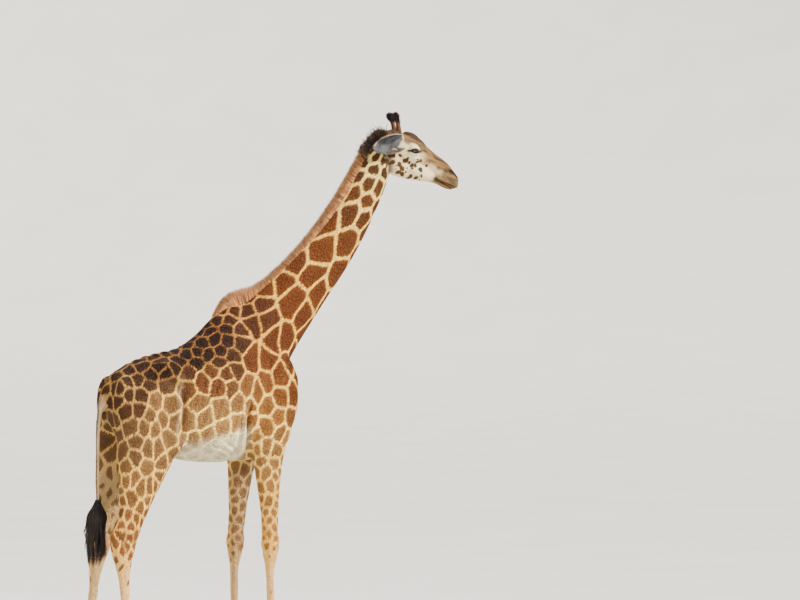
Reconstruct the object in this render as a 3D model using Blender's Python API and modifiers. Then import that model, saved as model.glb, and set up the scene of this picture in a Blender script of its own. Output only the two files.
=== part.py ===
"""A standing giraffe cow, life size, as a still museum model.

The animal faces +X, with +Z up and its left side at +Y. Lofts along the trunk, neck, head and legs, with
ellipsoids for the larger muscles, are fused into one closed form, smoothed, and parted by thin cuts into
the pieces that a person would name. The mane, tail, ears and ossicones are cut to meet that form.
"""

import math

import bmesh
import bpy
import numpy as np
from mathutils import Matrix, Vector

# Gaps and mesh sizes, in metres.
GAP = 0.0003
BODY_VOXEL = 0.013
HEAD_VOXEL = 0.0055
BODY_SMOOTHING = 14
HEAD_SMOOTHING = 5
BODY_TRIANGLES = 3500
HEAD_TRIANGLES = 1450

# Carriage of the head: where the poll is, and how the head turns on the neck.
POLL = Vector((1.49, 0.0, 3.735))
HEAD_PITCH = math.radians(26.5)
HEAD_YAW = math.radians(-10)
HEAD_TO_BODY = (
    Matrix.Translation(POLL)
    @ Matrix.Rotation(HEAD_YAW, 4, "Z")
    @ Matrix.Rotation(HEAD_PITCH, 4, "Y")
)

# Trunk: x, top, bottom, half width, and how much narrower the top is than the bottom.
TRUNK = [
    (-0.755, 1.99, 1.86, 0.050, 0.00),
    (-0.720, 2.07, 1.74, 0.120, 0.00),
    (-0.630, 2.14, 1.66, 0.180, 0.05),
    (-0.500, 2.20, 1.60, 0.218, 0.10),
    (-0.350, 2.240, 1.535, 0.245, 0.12),
    (-0.180, 2.275, 1.480, 0.272, 0.12),
    (-0.020, 2.370, 1.458, 0.285, 0.18),
    (0.120, 2.500, 1.458, 0.275, 0.28),
    (0.250, 2.580, 1.470, 0.250, 0.36),
    (0.400, 2.560, 1.490, 0.225, 0.34),
    (0.550, 2.420, 1.560, 0.195, 0.20),
    (0.670, 2.230, 1.690, 0.150, 0.05),
    (0.735, 2.060, 1.810, 0.080, 0.00),
]

# Neck, from inside the trunk to inside the skull: x, z, half depth across the neck, half width.
NECK = [
    (0.340, 2.180, 0.345, 0.190),
    (0.510, 2.370, 0.282, 0.165),
    (0.703, 2.567, 0.234, 0.138),
    (0.885, 2.761, 0.203, 0.116),
    (1.068, 2.963, 0.178, 0.100),
    (1.232, 3.188, 0.155, 0.090),
    (1.348, 3.387, 0.138, 0.082),
    (1.422, 3.545, 0.124, 0.076),
    (1.470, 3.680, 0.096, 0.070),
]

# Legs: x, distance from the midline, z, half depth fore and aft, half width.
FORELEG = [
    (0.500, 0.115, 2.230, 0.120, 0.060),
    (0.530, 0.140, 2.080, 0.165, 0.080),
    (0.520, 0.155, 1.920, 0.190, 0.092),
    (0.475, 0.165, 1.740, 0.185, 0.090),
    (0.454, 0.172, 1.580, 0.145, 0.078),
    (0.447, 0.176, 1.420, 0.112, 0.068),
    (0.446, 0.180, 1.260, 0.090, 0.058),
    (0.447, 0.184, 1.110, 0.073, 0.052),
    (0.447, 0.186, 0.960, 0.065, 0.052),
    (0.446, 0.187, 0.870, 0.065, 0.058),
    (0.444, 0.187, 0.790, 0.054, 0.049),
    (0.440, 0.187, 0.700, 0.037, 0.036),
    (0.440, 0.187, 0.550, 0.034, 0.031),
    (0.443, 0.187, 0.380, 0.035, 0.032),
    (0.447, 0.187, 0.275, 0.043, 0.041),
    (0.453, 0.187, 0.210, 0.050, 0.048),
    (0.472, 0.187, 0.150, 0.050, 0.052),
    (0.497, 0.187, 0.095, 0.066, 0.062),
    (0.507, 0.187, 0.040, 0.068, 0.062),
]
HINDLEG = [
    (-0.480, 0.085, 2.080, 0.150, 0.080),
    (-0.480, 0.120, 1.930, 0.225, 0.112),
    (-0.490, 0.145, 1.760, 0.255, 0.120),
    (-0.512, 0.160, 1.600, 0.240, 0.108),
    (-0.560, 0.168, 1.440, 0.198, 0.088),
    (-0.602, 0.172, 1.300, 0.158, 0.072),
    (-0.640, 0.174, 1.160, 0.119, 0.060),
    (-0.682, 0.175, 1.050, 0.103, 0.055),
    (-0.728, 0.175, 0.950, 0.107, 0.056),
    (-0.742, 0.175, 0.870, 0.094, 0.056),
    (-0.738, 0.175, 0.780, 0.070, 0.046),
    (-0.732, 0.175, 0.680, 0.048, 0.036),
    (-0.722, 0.175, 0.540, 0.039, 0.031),
    (-0.713, 0.175, 0.380, 0.037, 0.031),
    (-0.708, 0.175, 0.275, 0.043, 0.039),
    (-0.700, 0.175, 0.210, 0.049, 0.045),
    (-0.681, 0.175, 0.150, 0.049, 0.049),
    (-0.658, 0.175, 0.095, 0.062, 0.058),
    (-0.648, 0.175, 0.040, 0.064, 0.058),
]
# How far each knee or hock, and each foot, is set forward of the stance above.
STANCE = {
    ("fore", -1): (0.018, 0.034),
    ("fore", 1): (-0.064, -0.066),
    ("hind", -1): (0.034, 0.030),
    ("hind", 1): (0.018, -0.120),
}
STANCE_HEIGHTS = (0.10, 0.87, 1.70)

# Feet: the coronet, which slopes down to the heel, and the two claws under it.
CORONET_HEIGHT = 0.088
CORONET_SLOPE = 0.34
CLAW_LENGTH = {"fore": 0.170, "hind": 0.158}
CLAW_WIDTH = {"fore": 0.066, "hind": 0.061}
CLEFT = 0.005

# Head, in its own frame: x forward from the poll, z up. Skull and muzzle: x, top, bottom, half width.
SKULL = [
    (-0.075, 0.035, -0.090, 0.050),
    (-0.035, 0.078, -0.100, 0.072),
    (0.030, 0.106, -0.095, 0.084),
    (0.110, 0.128, -0.075, 0.092),
    (0.190, 0.150, -0.062, 0.090),
    (0.260, 0.150, -0.056, 0.079),
    (0.330, 0.124, -0.052, 0.064),
    (0.400, 0.109, -0.050, 0.055),
    (0.480, 0.097, -0.050, 0.049),
    (0.550, 0.076, -0.053, 0.051),
    (0.605, 0.045, -0.058, 0.052),
    (0.645, 0.015, -0.055, 0.040),
    (0.660, -0.014, -0.045, 0.020),
]
# Lower jaw: x, top, bottom, half width.
JAW = [
    (0.085, -0.020, -0.135, 0.036),
    (0.130, -0.030, -0.176, 0.046),
    (0.190, -0.030, -0.177, 0.048),
    (0.280, -0.035, -0.156, 0.044),
    (0.370, -0.040, -0.129, 0.037),
    (0.450, -0.045, -0.098, 0.031),
    (0.510, -0.050, -0.086, 0.034),
    (0.570, -0.055, -0.085, 0.038),
    (0.610, -0.058, -0.079, 0.031),
    (0.630, -0.062, -0.072, 0.016),
]
# Forms on both sides of the head: centre, radii. The y of each is mirrored.
HEAD_MUSCLES = [
    ((0.155, 0.040, -0.075), (0.100, 0.036, 0.092)),  # masseter
    ((0.300, 0.028, -0.060), (0.170, 0.031, 0.056)),  # cheek
    ((0.205, 0.062, 0.000), (0.105, 0.024, 0.032)),  # cheekbone
    ((0.205, 0.074, 0.072), (0.066, 0.030, 0.036)),  # brow over the eye
    ((0.218, 0.076, 0.038), (0.050, 0.030, 0.038)),  # orbit
    ((0.062, 0.040, 0.082), (0.062, 0.036, 0.044)),  # swelling under the ossicone
    ((0.010, 0.048, 0.010), (0.075, 0.040, 0.080)),  # back of the skull
    ((0.598, 0.030, 0.006), (0.044, 0.026, 0.030)),  # nostril wing
    ((0.560, 0.026, -0.045), (0.070, 0.026, 0.018)),  # upper lip
]
FOREHEAD = ((0.185, 0.0, 0.128), (0.075, 0.046, 0.038))
EYE_AT = Vector((0.222, 0.092, 0.040))
EYE_RADIUS = 0.0255
LID_RADII = (0.0350, 0.0290, 0.0330)
EYE_OPENING = (0.0185, 0.0160, 0.0090)
# The mouth runs back along this line, and the cut that frees the jaw goes on behind its corner.
MOUTH_FRONT = Vector((0.67, 0.0, -0.0465))
MOUTH_SLOPE = math.radians(3.4)
JAW_BACK = 0.098
JAW_DEPTH = 0.118
NOSTRIL_AT = Vector((0.606, 0.050, 0.010))
NOSTRIL_RADII = Vector((0.022, 0.009, 0.006))

# Ossicones: from base to tip, in the head's frame: x, y, z, radius.
OSSICONE = [
    (0.068, 0.046, 0.105, 0.0270),
    (0.054, 0.050, 0.135, 0.0210),
    (0.034, 0.054, 0.160, 0.0175),
    (0.010, 0.058, 0.184, 0.0185),
    (-0.010, 0.061, 0.202, 0.0235),
    (-0.022, 0.063, 0.213, 0.0205),
    (-0.030, 0.064, 0.220, 0.0090),
]

# Ear: a cupped leaf. Its root is on the head and its direction is in the head's frame.
EAR_ROOT = Vector((0.112, 0.078, 0.066))
EAR_DIRECTION = Vector((-0.74, 0.24, -0.58)).normalized()
EAR_FACES = Vector((0.10, 0.95, -0.10))
EAR_LENGTH = 0.255
EAR_HALF_WIDTH = 0.055
EAR_THICKNESS = 0.008

# Tail: x, z, half depth, half width, and its switch of long hair.
TAIL = [
    (-0.660, 2.055, 0.045, 0.040),
    (-0.725, 2.015, 0.040, 0.036),
    (-0.775, 1.930, 0.031, 0.029),
    (-0.800, 1.820, 0.025, 0.024),
    (-0.814, 1.600, 0.021, 0.019),
    (-0.816, 1.400, 0.018, 0.017),
    (-0.816, 1.270, 0.017, 0.016),
    (-0.814, 1.180, 0.018, 0.017),
]
SWITCH_TOP = 1.19
SWITCH = [
    (-0.814, 1.210, 0.020, 0.020),
    (-0.820, 1.120, 0.048, 0.042),
    (-0.828, 1.020, 0.066, 0.056),
    (-0.834, 0.900, 0.072, 0.060),
    (-0.836, 0.800, 0.062, 0.052),
    (-0.840, 0.720, 0.040, 0.036),
    (-0.845, 0.660, 0.014, 0.014),
]

# Mane, from the poll to the withers: x and z of its outer edge, half its height, half width.
MANE = [
    (1.462, 3.815, 0.030, 0.010),
    (1.420, 3.798, 0.048, 0.019),
    (1.350, 3.738, 0.056, 0.024),
    (1.275, 3.650, 0.056, 0.024),
    (1.163, 3.478, 0.056, 0.023),
    (1.062, 3.330, 0.056, 0.023),
    (0.960, 3.200, 0.056, 0.023),
    (0.840, 3.065, 0.056, 0.023),
    (0.730, 2.955, 0.056, 0.023),
    (0.610, 2.850, 0.056, 0.024),
    (0.500, 2.768, 0.058, 0.026),
    (0.400, 2.718, 0.064, 0.030),
    (0.310, 2.698, 0.068, 0.032),
    (0.235, 2.676, 0.066, 0.030),
    (0.170, 2.628, 0.056, 0.024),
    (0.120, 2.555, 0.038, 0.016),
    (0.092, 2.500, 0.020, 0.008),
]

# Larger muscles of the body, each on both sides: centre, radii, and tilt about Y in degrees.
BODY_MUSCLES = [
    ((0.380, 0.125, 2.250), (0.120, 0.055, 0.300), 24),  # blade of the shoulder
    ((0.610, 0.125, 1.990), (0.110, 0.070, 0.140), 20),  # point of the shoulder
    ((0.360, 0.160, 1.720), (0.120, 0.070, 0.150), 30),  # back of the upper arm
    ((-0.340, 0.135, 2.085), (0.130, 0.078, 0.110), 0),  # hip bone
    ((-0.640, 0.120, 1.850), (0.115, 0.085, 0.240), -8),  # buttock
    ((-0.330, 0.200, 1.640), (0.095, 0.062, 0.150), 18),  # front of the thigh
    ((0.300, 0.050, 1.520), (0.240, 0.090, 0.055), 0),  # brisket
    ((0.560, 0.060, 1.720), (0.130, 0.085, 0.180), -25),  # breast
]

# Where the whole form is parted: a point and the direction of the far side.
HEAD_PLANE = (Vector((1.395, 0.0, 3.515)), Vector((0.55, 0.0, 0.835)).normalized())
NECK_PLANE = (Vector((0.560, 0.0, 2.440)), Vector((0.669, 0.0, 0.743)).normalized())
FORE_KNEE = (Vector((0.450, 0.0, 0.870)), Vector((0.0, 0.0, -1.0)))
HIND_HOCK = (Vector((-0.740, 0.0, 0.860)), Vector((0.25, 0.0, -1.0)).normalized())
# Where a leg leaves the trunk: the x that it lies between, and the height of the cut at the midline,
# with its rise per metre forward and per metre outward.
LEG_CUT = {
    "fore": (0.270, 0.850, 1.450, 0.25, 0.60),
    "hind": (-1.100, -0.200, 1.440, -0.40, 0.70),
}

# Finishes: colour, roughness.
HAIR = ((0.42, 0.24, 0.11, 1.0), 0.8)
MUZZLE = ((0.55, 0.43, 0.29, 1.0), 0.75)
DARK_HAIR = ((0.03, 0.02, 0.015, 1.0), 0.7)
MANE_HAIR = ((0.33, 0.15, 0.07, 1.0), 0.85)
HORN = ((0.10, 0.08, 0.06, 1.0), 0.45)
EYE = ((0.012, 0.008, 0.006, 1.0), 0.1)


def clear_scene():
    for obj in list(bpy.data.objects):
        bpy.data.objects.remove(obj, do_unlink=True)


def material(name, finish):
    colour, roughness = finish
    made = bpy.data.materials.new(name)
    made.use_nodes = True
    shader = made.node_tree.nodes["Principled BSDF"]
    shader.inputs["Base Color"].default_value = colour
    shader.inputs["Roughness"].default_value = roughness
    shader.inputs["Metallic"].default_value = 0.0
    made.diffuse_color = colour
    return made


def through(stations, count):
    """Rows along one smooth curve through the stations, evenly spaced by distance."""
    rows = np.array(stations, float)
    steps = np.linalg.norm(np.diff(rows[:, :3], axis=0), axis=1)
    along = np.concatenate([[0.0], np.cumsum(steps)])
    slope = np.gradient(rows, along, axis=0)
    at = np.linspace(0.0, along[-1], count)
    i = np.clip(np.searchsorted(along, at, side="right") - 1, 0, len(rows) - 2)
    span = (along[i + 1] - along[i])[:, None]
    t = (at - along[i])[:, None] / span
    return (
        (2 * t**3 - 3 * t**2 + 1) * rows[i]
        + (t**3 - 2 * t**2 + t) * span * slope[i]
        + (3 * t**2 - 2 * t**3) * rows[i + 1]
        + (t**3 - t**2) * span * slope[i + 1]
    )


def bridge(bm, rings):
    """Quads between neighbouring rings of points, and a face over each end."""
    made = [[bm.verts.new(p) for p in ring] for ring in rings]
    for near, far in zip(made, made[1:]):
        for k in range(len(near)):
            after = (k + 1) % len(near)
            bm.faces.new((near[k], near[after], far[after], far[k]))
    bm.faces.new(reversed(made[0]))
    bm.faces.new(made[-1])


def loft(bm, stations, rings, sides, upright=False):
    """A closed tube. A station is x, y, z, half depth, half width, and how much narrower its top is.

    Each ring is square to the path, or in an upright plane. Its depth lies in the animal's own plane.
    """
    rows = through(stations, rings)
    centres = rows[:, :3]
    ways = np.gradient(centres, axis=0)
    found = []
    for centre, way, row in zip(centres, ways, rows):
        along = Vector((1, 0, 0)) if upright else Vector(way).normalized()
        across = Vector((0, 1, 0))
        across = (across - along * across.dot(along)).normalized()
        up = along.cross(across)
        turns = [2 * math.pi * k / sides for k in range(sides)]
        depth, width, narrow = max(row[3], 0.002), max(row[4], 0.002), row[5]
        found.append(
            [
                Vector(centre)
                + up * (depth * math.cos(a))
                + across * (width * math.sin(a) * (1 - narrow * math.cos(a)))
                for a in turns
            ]
        )
    bridge(bm, found)


def ellipsoid(bm, centre, radii, tilt=0.0):
    """A ball stretched to these radii and tilted about Y, in degrees."""
    place = (
        Matrix.Translation(centre)
        @ Matrix.Rotation(math.radians(tilt), 4, "Y")
        @ Matrix.Diagonal((*radii, 1.0))
    )
    bmesh.ops.create_uvsphere(bm, u_segments=20, v_segments=12, radius=1.0, matrix=place)


def levels(stations):
    """Stations given by x, top, bottom, half width and an optional narrowing, as loft rows."""
    return [
        (x, 0.0, (top + low) / 2, (top - low) / 2, half, more[0] if more else 0.0)
        for x, top, low, half, *more in stations
    ]


def leg_stations(kind, side):
    """One leg's loft rows, with its foot set forward or back and the shift fading towards the trunk."""
    joint, foot = STANCE[kind, side]
    rows = []
    for x, y, z, depth, width in FORELEG if kind == "fore" else HINDLEG:
        shift = float(np.interp(z, STANCE_HEIGHTS, (foot, joint, 0.0)))
        rows.append((x + shift, side * y, z, depth, width, 0.0))
    return rows


def object_from(bm, name):
    bmesh.ops.recalc_face_normals(bm, faces=bm.faces)
    mesh = bpy.data.meshes.new(name)
    bm.to_mesh(mesh)
    bm.free()
    obj = bpy.data.objects.new(name, mesh)
    bpy.context.scene.collection.objects.link(obj)
    return obj


def apply_modifiers(obj):
    """Turns what the modifiers make of an object into its own mesh."""
    bpy.context.view_layer.update()
    graph = bpy.context.evaluated_depsgraph_get()
    mesh = bpy.data.meshes.new_from_object(obj.evaluated_get(graph))
    obj.modifiers.clear()
    obj.data = mesh
    return obj


def fuse(obj, voxel, smoothing, triangles):
    """Makes one even skin round overlapping closed shapes, smooths it and thins it out."""
    remesh = obj.modifiers.new("fuse", "REMESH")
    remesh.mode = "VOXEL"
    remesh.voxel_size = voxel
    smooth = obj.modifiers.new("smooth", "SMOOTH")
    smooth.factor = 0.5
    smooth.iterations = smoothing
    apply_modifiers(obj)
    full = sum(len(face.vertices) - 2 for face in obj.data.polygons)
    thin = obj.modifiers.new("thin", "DECIMATE")
    thin.ratio = triangles / full
    return apply_modifiers(obj)


def copy_of(obj, name):
    made = bpy.data.objects.new(name, obj.data.copy())
    bpy.context.scene.collection.objects.link(made)
    return made


def swollen(obj, by):
    """A copy whose surface lies this far outside the object's, as a cutter that leaves a gap."""
    made = copy_of(obj, obj.name + "_cutter")
    normals = [vertex.normal.copy() for vertex in made.data.vertices]
    for vertex, normal in zip(made.data.vertices, normals):
        vertex.co += normal * by
    return made


def combine(obj, other, operation):
    """Boolean of two meshes, applied. The other object is used up."""
    cut = obj.modifiers.new("cut", "BOOLEAN")
    cut.operation = operation
    cut.object = other
    apply_modifiers(obj)
    bpy.data.objects.remove(other, do_unlink=True)
    return obj


def block(name, low, high):
    """A box between two corners."""
    bm = bmesh.new()
    sides = [high[k] - low[k] for k in range(3)]
    middle = [(high[k] + low[k]) / 2 for k in range(3)]
    place = Matrix.Translation(middle) @ Matrix.Diagonal((*sides, 1.0))
    bmesh.ops.create_cube(bm, size=1.0, matrix=place)
    return object_from(bm, name)


def leg_block(kind, side, gap):
    """A block that holds one whole leg, with a top that slopes as the leg leaves the trunk."""
    back, front, height, forward, outward = LEG_CUT[kind]
    obj = block("leg_block", (back + gap, 0.015 + gap, -0.1), (front - gap, 0.45, 1.0))
    for vertex in obj.data.vertices:
        x, y, z = vertex.co
        if z > 0.5:
            vertex.co.z = height + forward * (x - (back + front) / 2) + outward * y - gap
        vertex.co.y = side * y
    if side < 0:
        obj.data.flip_normals()
    return obj


def keep_side(obj, point, normal):
    """Cuts an object by a plane and keeps the side that the normal points away from, closed."""
    bm = bmesh.new()
    bm.from_mesh(obj.data)
    everything = [*bm.verts, *bm.edges, *bm.faces]
    bmesh.ops.bisect_plane(
        bm, geom=everything, dist=1e-6, plane_co=point, plane_no=normal, clear_outer=True
    )
    rim = [edge for edge in bm.edges if edge.is_boundary]
    bmesh.ops.holes_fill(bm, edges=rim, sides=0)
    bmesh.ops.triangulate(bm, faces=[face for face in bm.faces if len(face.verts) > 4])
    bmesh.ops.recalc_face_normals(bm, faces=bm.faces)
    bm.to_mesh(obj.data)
    bm.free()
    return obj


def part_at(obj, plane, far_name):
    """Parts an object at a plane with a thin gap. The far side becomes a new object."""
    point, normal = plane
    far = copy_of(obj, far_name)
    keep_side(obj, point - normal * GAP / 2, normal)
    keep_side(far, point + normal * GAP / 2, -normal)
    return far


def add_body_shapes(bm):
    loft(bm, levels(TRUNK), 46, 32, upright=True)
    loft(bm, [(x, 0.0, z, depth, width, 0.0) for x, z, depth, width in NECK], 44, 28)
    for side in (-1, 1):
        for kind in ("fore", "hind"):
            loft(bm, leg_stations(kind, side), 110, 20)
        for (x, y, z), radii, tilt in BODY_MUSCLES:
            ellipsoid(bm, (x, side * y, z), radii, tilt)


def add_head_shapes(bm):
    """The head's shapes, made in the head's frame and then carried to the top of the neck."""
    head = bmesh.new()
    loft(head, levels(SKULL), 40, 28, upright=True)
    loft(head, levels(JAW), 34, 20, upright=True)
    ellipsoid(head, *FOREHEAD)
    for side in (-1, 1):
        for (x, y, z), radii in HEAD_MUSCLES:
            ellipsoid(head, (x, side * y, z), radii)
        ellipsoid(head, (EYE_AT.x, side * EYE_AT.y, EYE_AT.z), LID_RADII)
    head.transform(HEAD_TO_BODY)
    mesh = bpy.data.meshes.new("head_shapes")
    head.to_mesh(mesh)
    head.free()
    bm.from_mesh(mesh)
    bpy.data.meshes.remove(mesh)


def make_whole_body():
    bm = bmesh.new()
    add_body_shapes(bm)
    add_head_shapes(bm)
    return fuse(object_from(bm, "whole_body"), BODY_VOXEL, BODY_SMOOTHING, BODY_TRIANGLES)


def make_whole_head():
    """The head with the top of the neck, on a finer mesh than the body's."""
    bm = bmesh.new()
    add_head_shapes(bm)
    neck = [(x, 0.0, z, depth, width, 0.0) for x, z, depth, width in NECK]
    loft(bm, neck[5:], 16, 28)
    whole = fuse(object_from(bm, "whole_head"), HEAD_VOXEL, HEAD_SMOOTHING, HEAD_TRIANGLES)
    return whole


def ball(name, middle, radii):
    """An ellipsoid placed in the head's frame."""
    bm = bmesh.new()
    place = HEAD_TO_BODY @ Matrix.Translation(middle) @ Matrix.Diagonal((*radii, 1.0))
    bmesh.ops.create_uvsphere(bm, u_segments=12, v_segments=7, radius=1.0, matrix=place)
    return object_from(bm, name)


def make_eye(name, side):
    return ball(name, Vector((EYE_AT.x, side * EYE_AT.y, EYE_AT.z)), [EYE_RADIUS] * 3)


def make_ossicone(name, side, head):
    bm = bmesh.new()
    rows = [(x, side * y, z, radius, radius, 0.0) for x, y, z, radius in OSSICONE]
    loft(bm, rows, 9, 9)
    bm.transform(HEAD_TO_BODY)
    return combine(object_from(bm, name), swollen(head, 2 * GAP), "DIFFERENCE")


def make_ear(name, side, head):
    """A leaf cupped about its length. Its edges roll towards the side that it faces."""
    along = EAR_DIRECTION
    faces = (EAR_FACES - along * EAR_FACES.dot(along)).normalized()
    across = along.cross(faces)
    lengths, widths = 10, 6
    bm = bmesh.new()
    rows = []
    for i in range(lengths + 1):
        t = i / lengths
        # Narrow and rolled at the root, widest at two fifths of the length, pointed at the tip.
        half = EAR_HALF_WIDTH * (math.sin(math.pi * min(1.0, 0.16 + 0.84 * t)) ** 0.55 * 0.97 + 0.03)
        roll = math.radians(112 - 66 * t)
        row = []
        for j in range(widths + 1):
            turn = roll * (2 * j / widths - 1)
            cup = half / math.sin(min(roll, math.pi / 2))
            place = (
                EAR_ROOT
                + along * (EAR_LENGTH * t)
                + across * (cup * math.sin(turn))
                - faces * (cup * math.cos(turn) - cup * 0.6)
            )
            row.append(bm.verts.new((place.x, side * place.y, place.z)))
        rows.append(row)
    for near, far in zip(rows, rows[1:]):
        for j in range(widths):
            bm.faces.new((near[j], near[j + 1], far[j + 1], far[j]))
    bm.transform(HEAD_TO_BODY)
    ear = object_from(bm, name)
    shell = ear.modifiers.new("shell", "SOLIDIFY")
    shell.thickness = EAR_THICKNESS
    shell.offset = 0.0
    apply_modifiers(ear)
    return combine(ear, swollen(head, 2 * GAP), "DIFFERENCE")


def make_mane(body, head):
    """The standing hair of the crest, as one ridge whose outer edge runs through the stations."""
    edge = np.array([(x, z) for x, z, _, _ in MANE])
    ways = np.gradient(edge, axis=0)
    ways /= np.linalg.norm(ways, axis=1)[:, None]
    rows = []
    for (x, z, depth, width), (dx, dz) in zip(MANE, ways):
        rows.append((x - dz * depth, 0.0, z + dx * depth, depth, width, 0.0))
    bm = bmesh.new()
    loft(bm, rows, 24, 7)
    mane = object_from(bm, "mane")
    combine(mane, swollen(body, 2 * GAP), "DIFFERENCE")
    combine(mane, swollen(head, 2 * GAP), "DIFFERENCE")
    return keep_largest(mane)


def keep_largest(obj):
    """Drops loose crumbs that a cut left, and keeps the largest piece."""
    bm = bmesh.new()
    bm.from_mesh(obj.data)
    left, pieces = set(bm.verts), []
    while left:
        todo, piece = [left.pop()], set()
        while todo:
            vertex = todo.pop()
            piece.add(vertex)
            for edge in vertex.link_edges:
                other = edge.other_vert(vertex)
                if other in left:
                    left.remove(other)
                    todo.append(other)
        pieces.append(piece)
    largest = max(pieces, key=len)
    bmesh.ops.delete(bm, geom=[v for v in bm.verts if v not in largest], context="VERTS")
    bm.to_mesh(obj.data)
    bm.free()
    return obj


def make_tail(body):
    bm = bmesh.new()
    loft(bm, [(x, 0.0, z, depth, width, 0.0) for x, z, depth, width in TAIL], 17, 8)
    tail = combine(object_from(bm, "tail"), swollen(body, 2 * GAP), "DIFFERENCE")
    return keep_side(tail, Vector((0, 0, SWITCH_TOP + GAP / 2)), Vector((0, 0, -1)))


def make_switch():
    """The long hair of the tail's end, as its outer form, starting just under the tail itself."""
    bm = bmesh.new()
    loft(bm, [(x, 0.0, z, depth, width, 0.0) for x, z, depth, width in SWITCH], 10, 10)
    switch = object_from(bm, "tail_switch")
    return keep_side(switch, Vector((0, 0, SWITCH_TOP - GAP / 2)), Vector((0, 0, 1)))


def claw_outline(length, width):
    """A claw's rim, seen from above: x about its middle, and the distance out from the cleft."""
    points = []
    for k in range(12):
        a = 2 * math.pi * k / 12
        # The wall along the cleft is flat. The outer one bows out and sweeps in to the toe.
        out = width * math.sin(a) ** 0.75 * (1 - 0.25 * max(0.0, math.cos(a))) if 0 < k < 6 else 0.0
        points.append((math.cos(a) * length / 2, max(out, 0.12 * width) if k in (0, 6) else out))
    return points


def make_claw(name, kind, side, outer):
    """One of a foot's two claws, from its flat sole up to the sloping coronet."""
    stations = FORELEG if kind == "fore" else HINDLEG
    foot_x = stations[-2][0] + STANCE[kind, side][1]
    away = side if outer else -side
    rings = []
    for height, long, wide, back in (
        (0.0, 0.97, 0.97, 0.0),
        (0.006, 1.0, 1.0, 0.0),
        (0.5, 0.89, 0.95, 0.013),
        (1.0, 0.78, 0.88, 0.027),
    ):
        ring = []
        for x, out in claw_outline(CLAW_LENGTH[kind], CLAW_WIDTH[kind]):
            px = foot_x + 0.022 - back + x * long
            py = side * stations[-2][1] + away * (CLEFT / 2 + out * wide)
            top = CORONET_HEIGHT + CORONET_SLOPE * (px - foot_x) - GAP
            ring.append(Vector((px, py, height * top if height > 0.1 else height)))
        rings.append(ring)
    bm = bmesh.new()
    bridge(bm, rings)
    return object_from(bm, name)


def coronet_plane(kind, side):
    stations = FORELEG if kind == "fore" else HINDLEG
    point = Vector((stations[-2][0] + STANCE[kind, side][1], 0.0, CORONET_HEIGHT + GAP))
    return point, Vector((CORONET_SLOPE, 0.0, -1.0)).normalized()


def make_legs(trunk):
    """Parts the four legs from the trunk, then each at its knee or hock, and adds the claws."""
    made = {}
    for kind in ("fore", "hind"):
        for side, word in ((-1, "right"), (1, "left")):
            name = f"{kind}leg_{word}"
            leg = copy_of(trunk, name + "_upper")
            combine(leg, leg_block(kind, side, GAP), "INTERSECT")
            combine(trunk, leg_block(kind, side, 0.0), "DIFFERENCE")
            keep_largest(leg)
            lower = part_at(leg, FORE_KNEE if kind == "fore" else HIND_HOCK, name + "_lower")
            keep_side(lower, *coronet_plane(kind, side))
            made[leg.name], made[lower.name] = leg, lower
            for outer in (True, False):
                claw = f"{name}_claw_{'outer' if outer else 'inner'}"
                made[claw] = make_claw(claw, kind, side, outer)
    return made


def make_jaw(head):
    """Frees the lower jaw along the line of the mouth, and behind its own angle."""
    jaw = copy_of(head, "lower_jaw")
    # The block's top turns down towards the corner of the mouth, about the mouth's front.
    about = Matrix.Translation(MOUTH_FRONT)
    place = HEAD_TO_BODY @ about @ Matrix.Rotation(-MOUTH_SLOPE, 4, "Y") @ about.inverted()
    for obj, gap, operation in ((jaw, GAP, "INTERSECT"), (head, 0.0, "DIFFERENCE")):
        low = (JAW_BACK + gap, -0.4, MOUTH_FRONT.z - JAW_DEPTH + gap)
        high = (MOUTH_FRONT.x + 0.1, 0.4, MOUTH_FRONT.z - gap)
        cutter = block("jaw_block", low, high)
        cutter.data.transform(place)
        combine(obj, cutter, operation)
    return keep_largest(jaw)


def cut_nostrils(head):
    for side in (-1, 1):
        bm = bmesh.new()
        place = (
            HEAD_TO_BODY
            @ Matrix.Translation((NOSTRIL_AT.x, side * NOSTRIL_AT.y, NOSTRIL_AT.z))
            @ Matrix.Rotation(math.radians(32), 4, "Y")
            @ Matrix.Rotation(side * math.radians(-22), 4, "Z")
            @ Matrix.Diagonal((*NOSTRIL_RADII, 1.0))
        )
        bmesh.ops.create_uvsphere(bm, u_segments=10, v_segments=6, radius=1.0, matrix=place)
        combine(head, object_from(bm, "nostril"), "DIFFERENCE")


def cut_eye_sockets(head):
    """Opens each pair of lids, and hollows the socket behind them for the eyeball."""
    for side in (-1, 1):
        at = Vector((EYE_AT.x, side * EYE_AT.y, EYE_AT.z))
        outer = at + Vector((0, side * LID_RADII[1], 0))
        for middle, radii in ((at, [EYE_RADIUS + 2 * GAP] * 3), (outer, EYE_OPENING)):
            combine(head, ball("socket", middle, radii), "DIFFERENCE")


def finish_parts(parts):
    """Puts the parts in one collection under an empty that sets the row's origin under the middle."""
    home = bpy.data.collections.new("giraffe")
    bpy.context.scene.collection.children.link(home)
    slots = {
        "coat": material("coat", HAIR),
        "muzzle": material("muzzle", MUZZLE),
        "mane": material("mane", MANE_HAIR),
        "dark_hair": material("dark_hair", DARK_HAIR),
        "horn": material("horn", HORN),
        "eye": material("eye", EYE),
    }
    corners = np.array([v.co for obj in parts.values() for v in obj.data.vertices])
    middle = (corners.min(0) + corners.max(0)) / 2
    root = bpy.data.objects.new("giraffe_origin", None)
    root.location = (-middle[0], -middle[1], -corners[:, 2].min())
    home.objects.link(root)
    for name, obj in parts.items():
        obj.name = name
        for holder in list(obj.users_collection):
            holder.objects.unlink(obj)
        home.objects.link(obj)
        obj.parent = root
        obj.data.materials.clear()
        obj.data.materials.append(slots[slot_of(name)])
        obj.data.shade_smooth()
        obj.data.set_sharp_from_angle(angle=math.radians(50))


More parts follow.
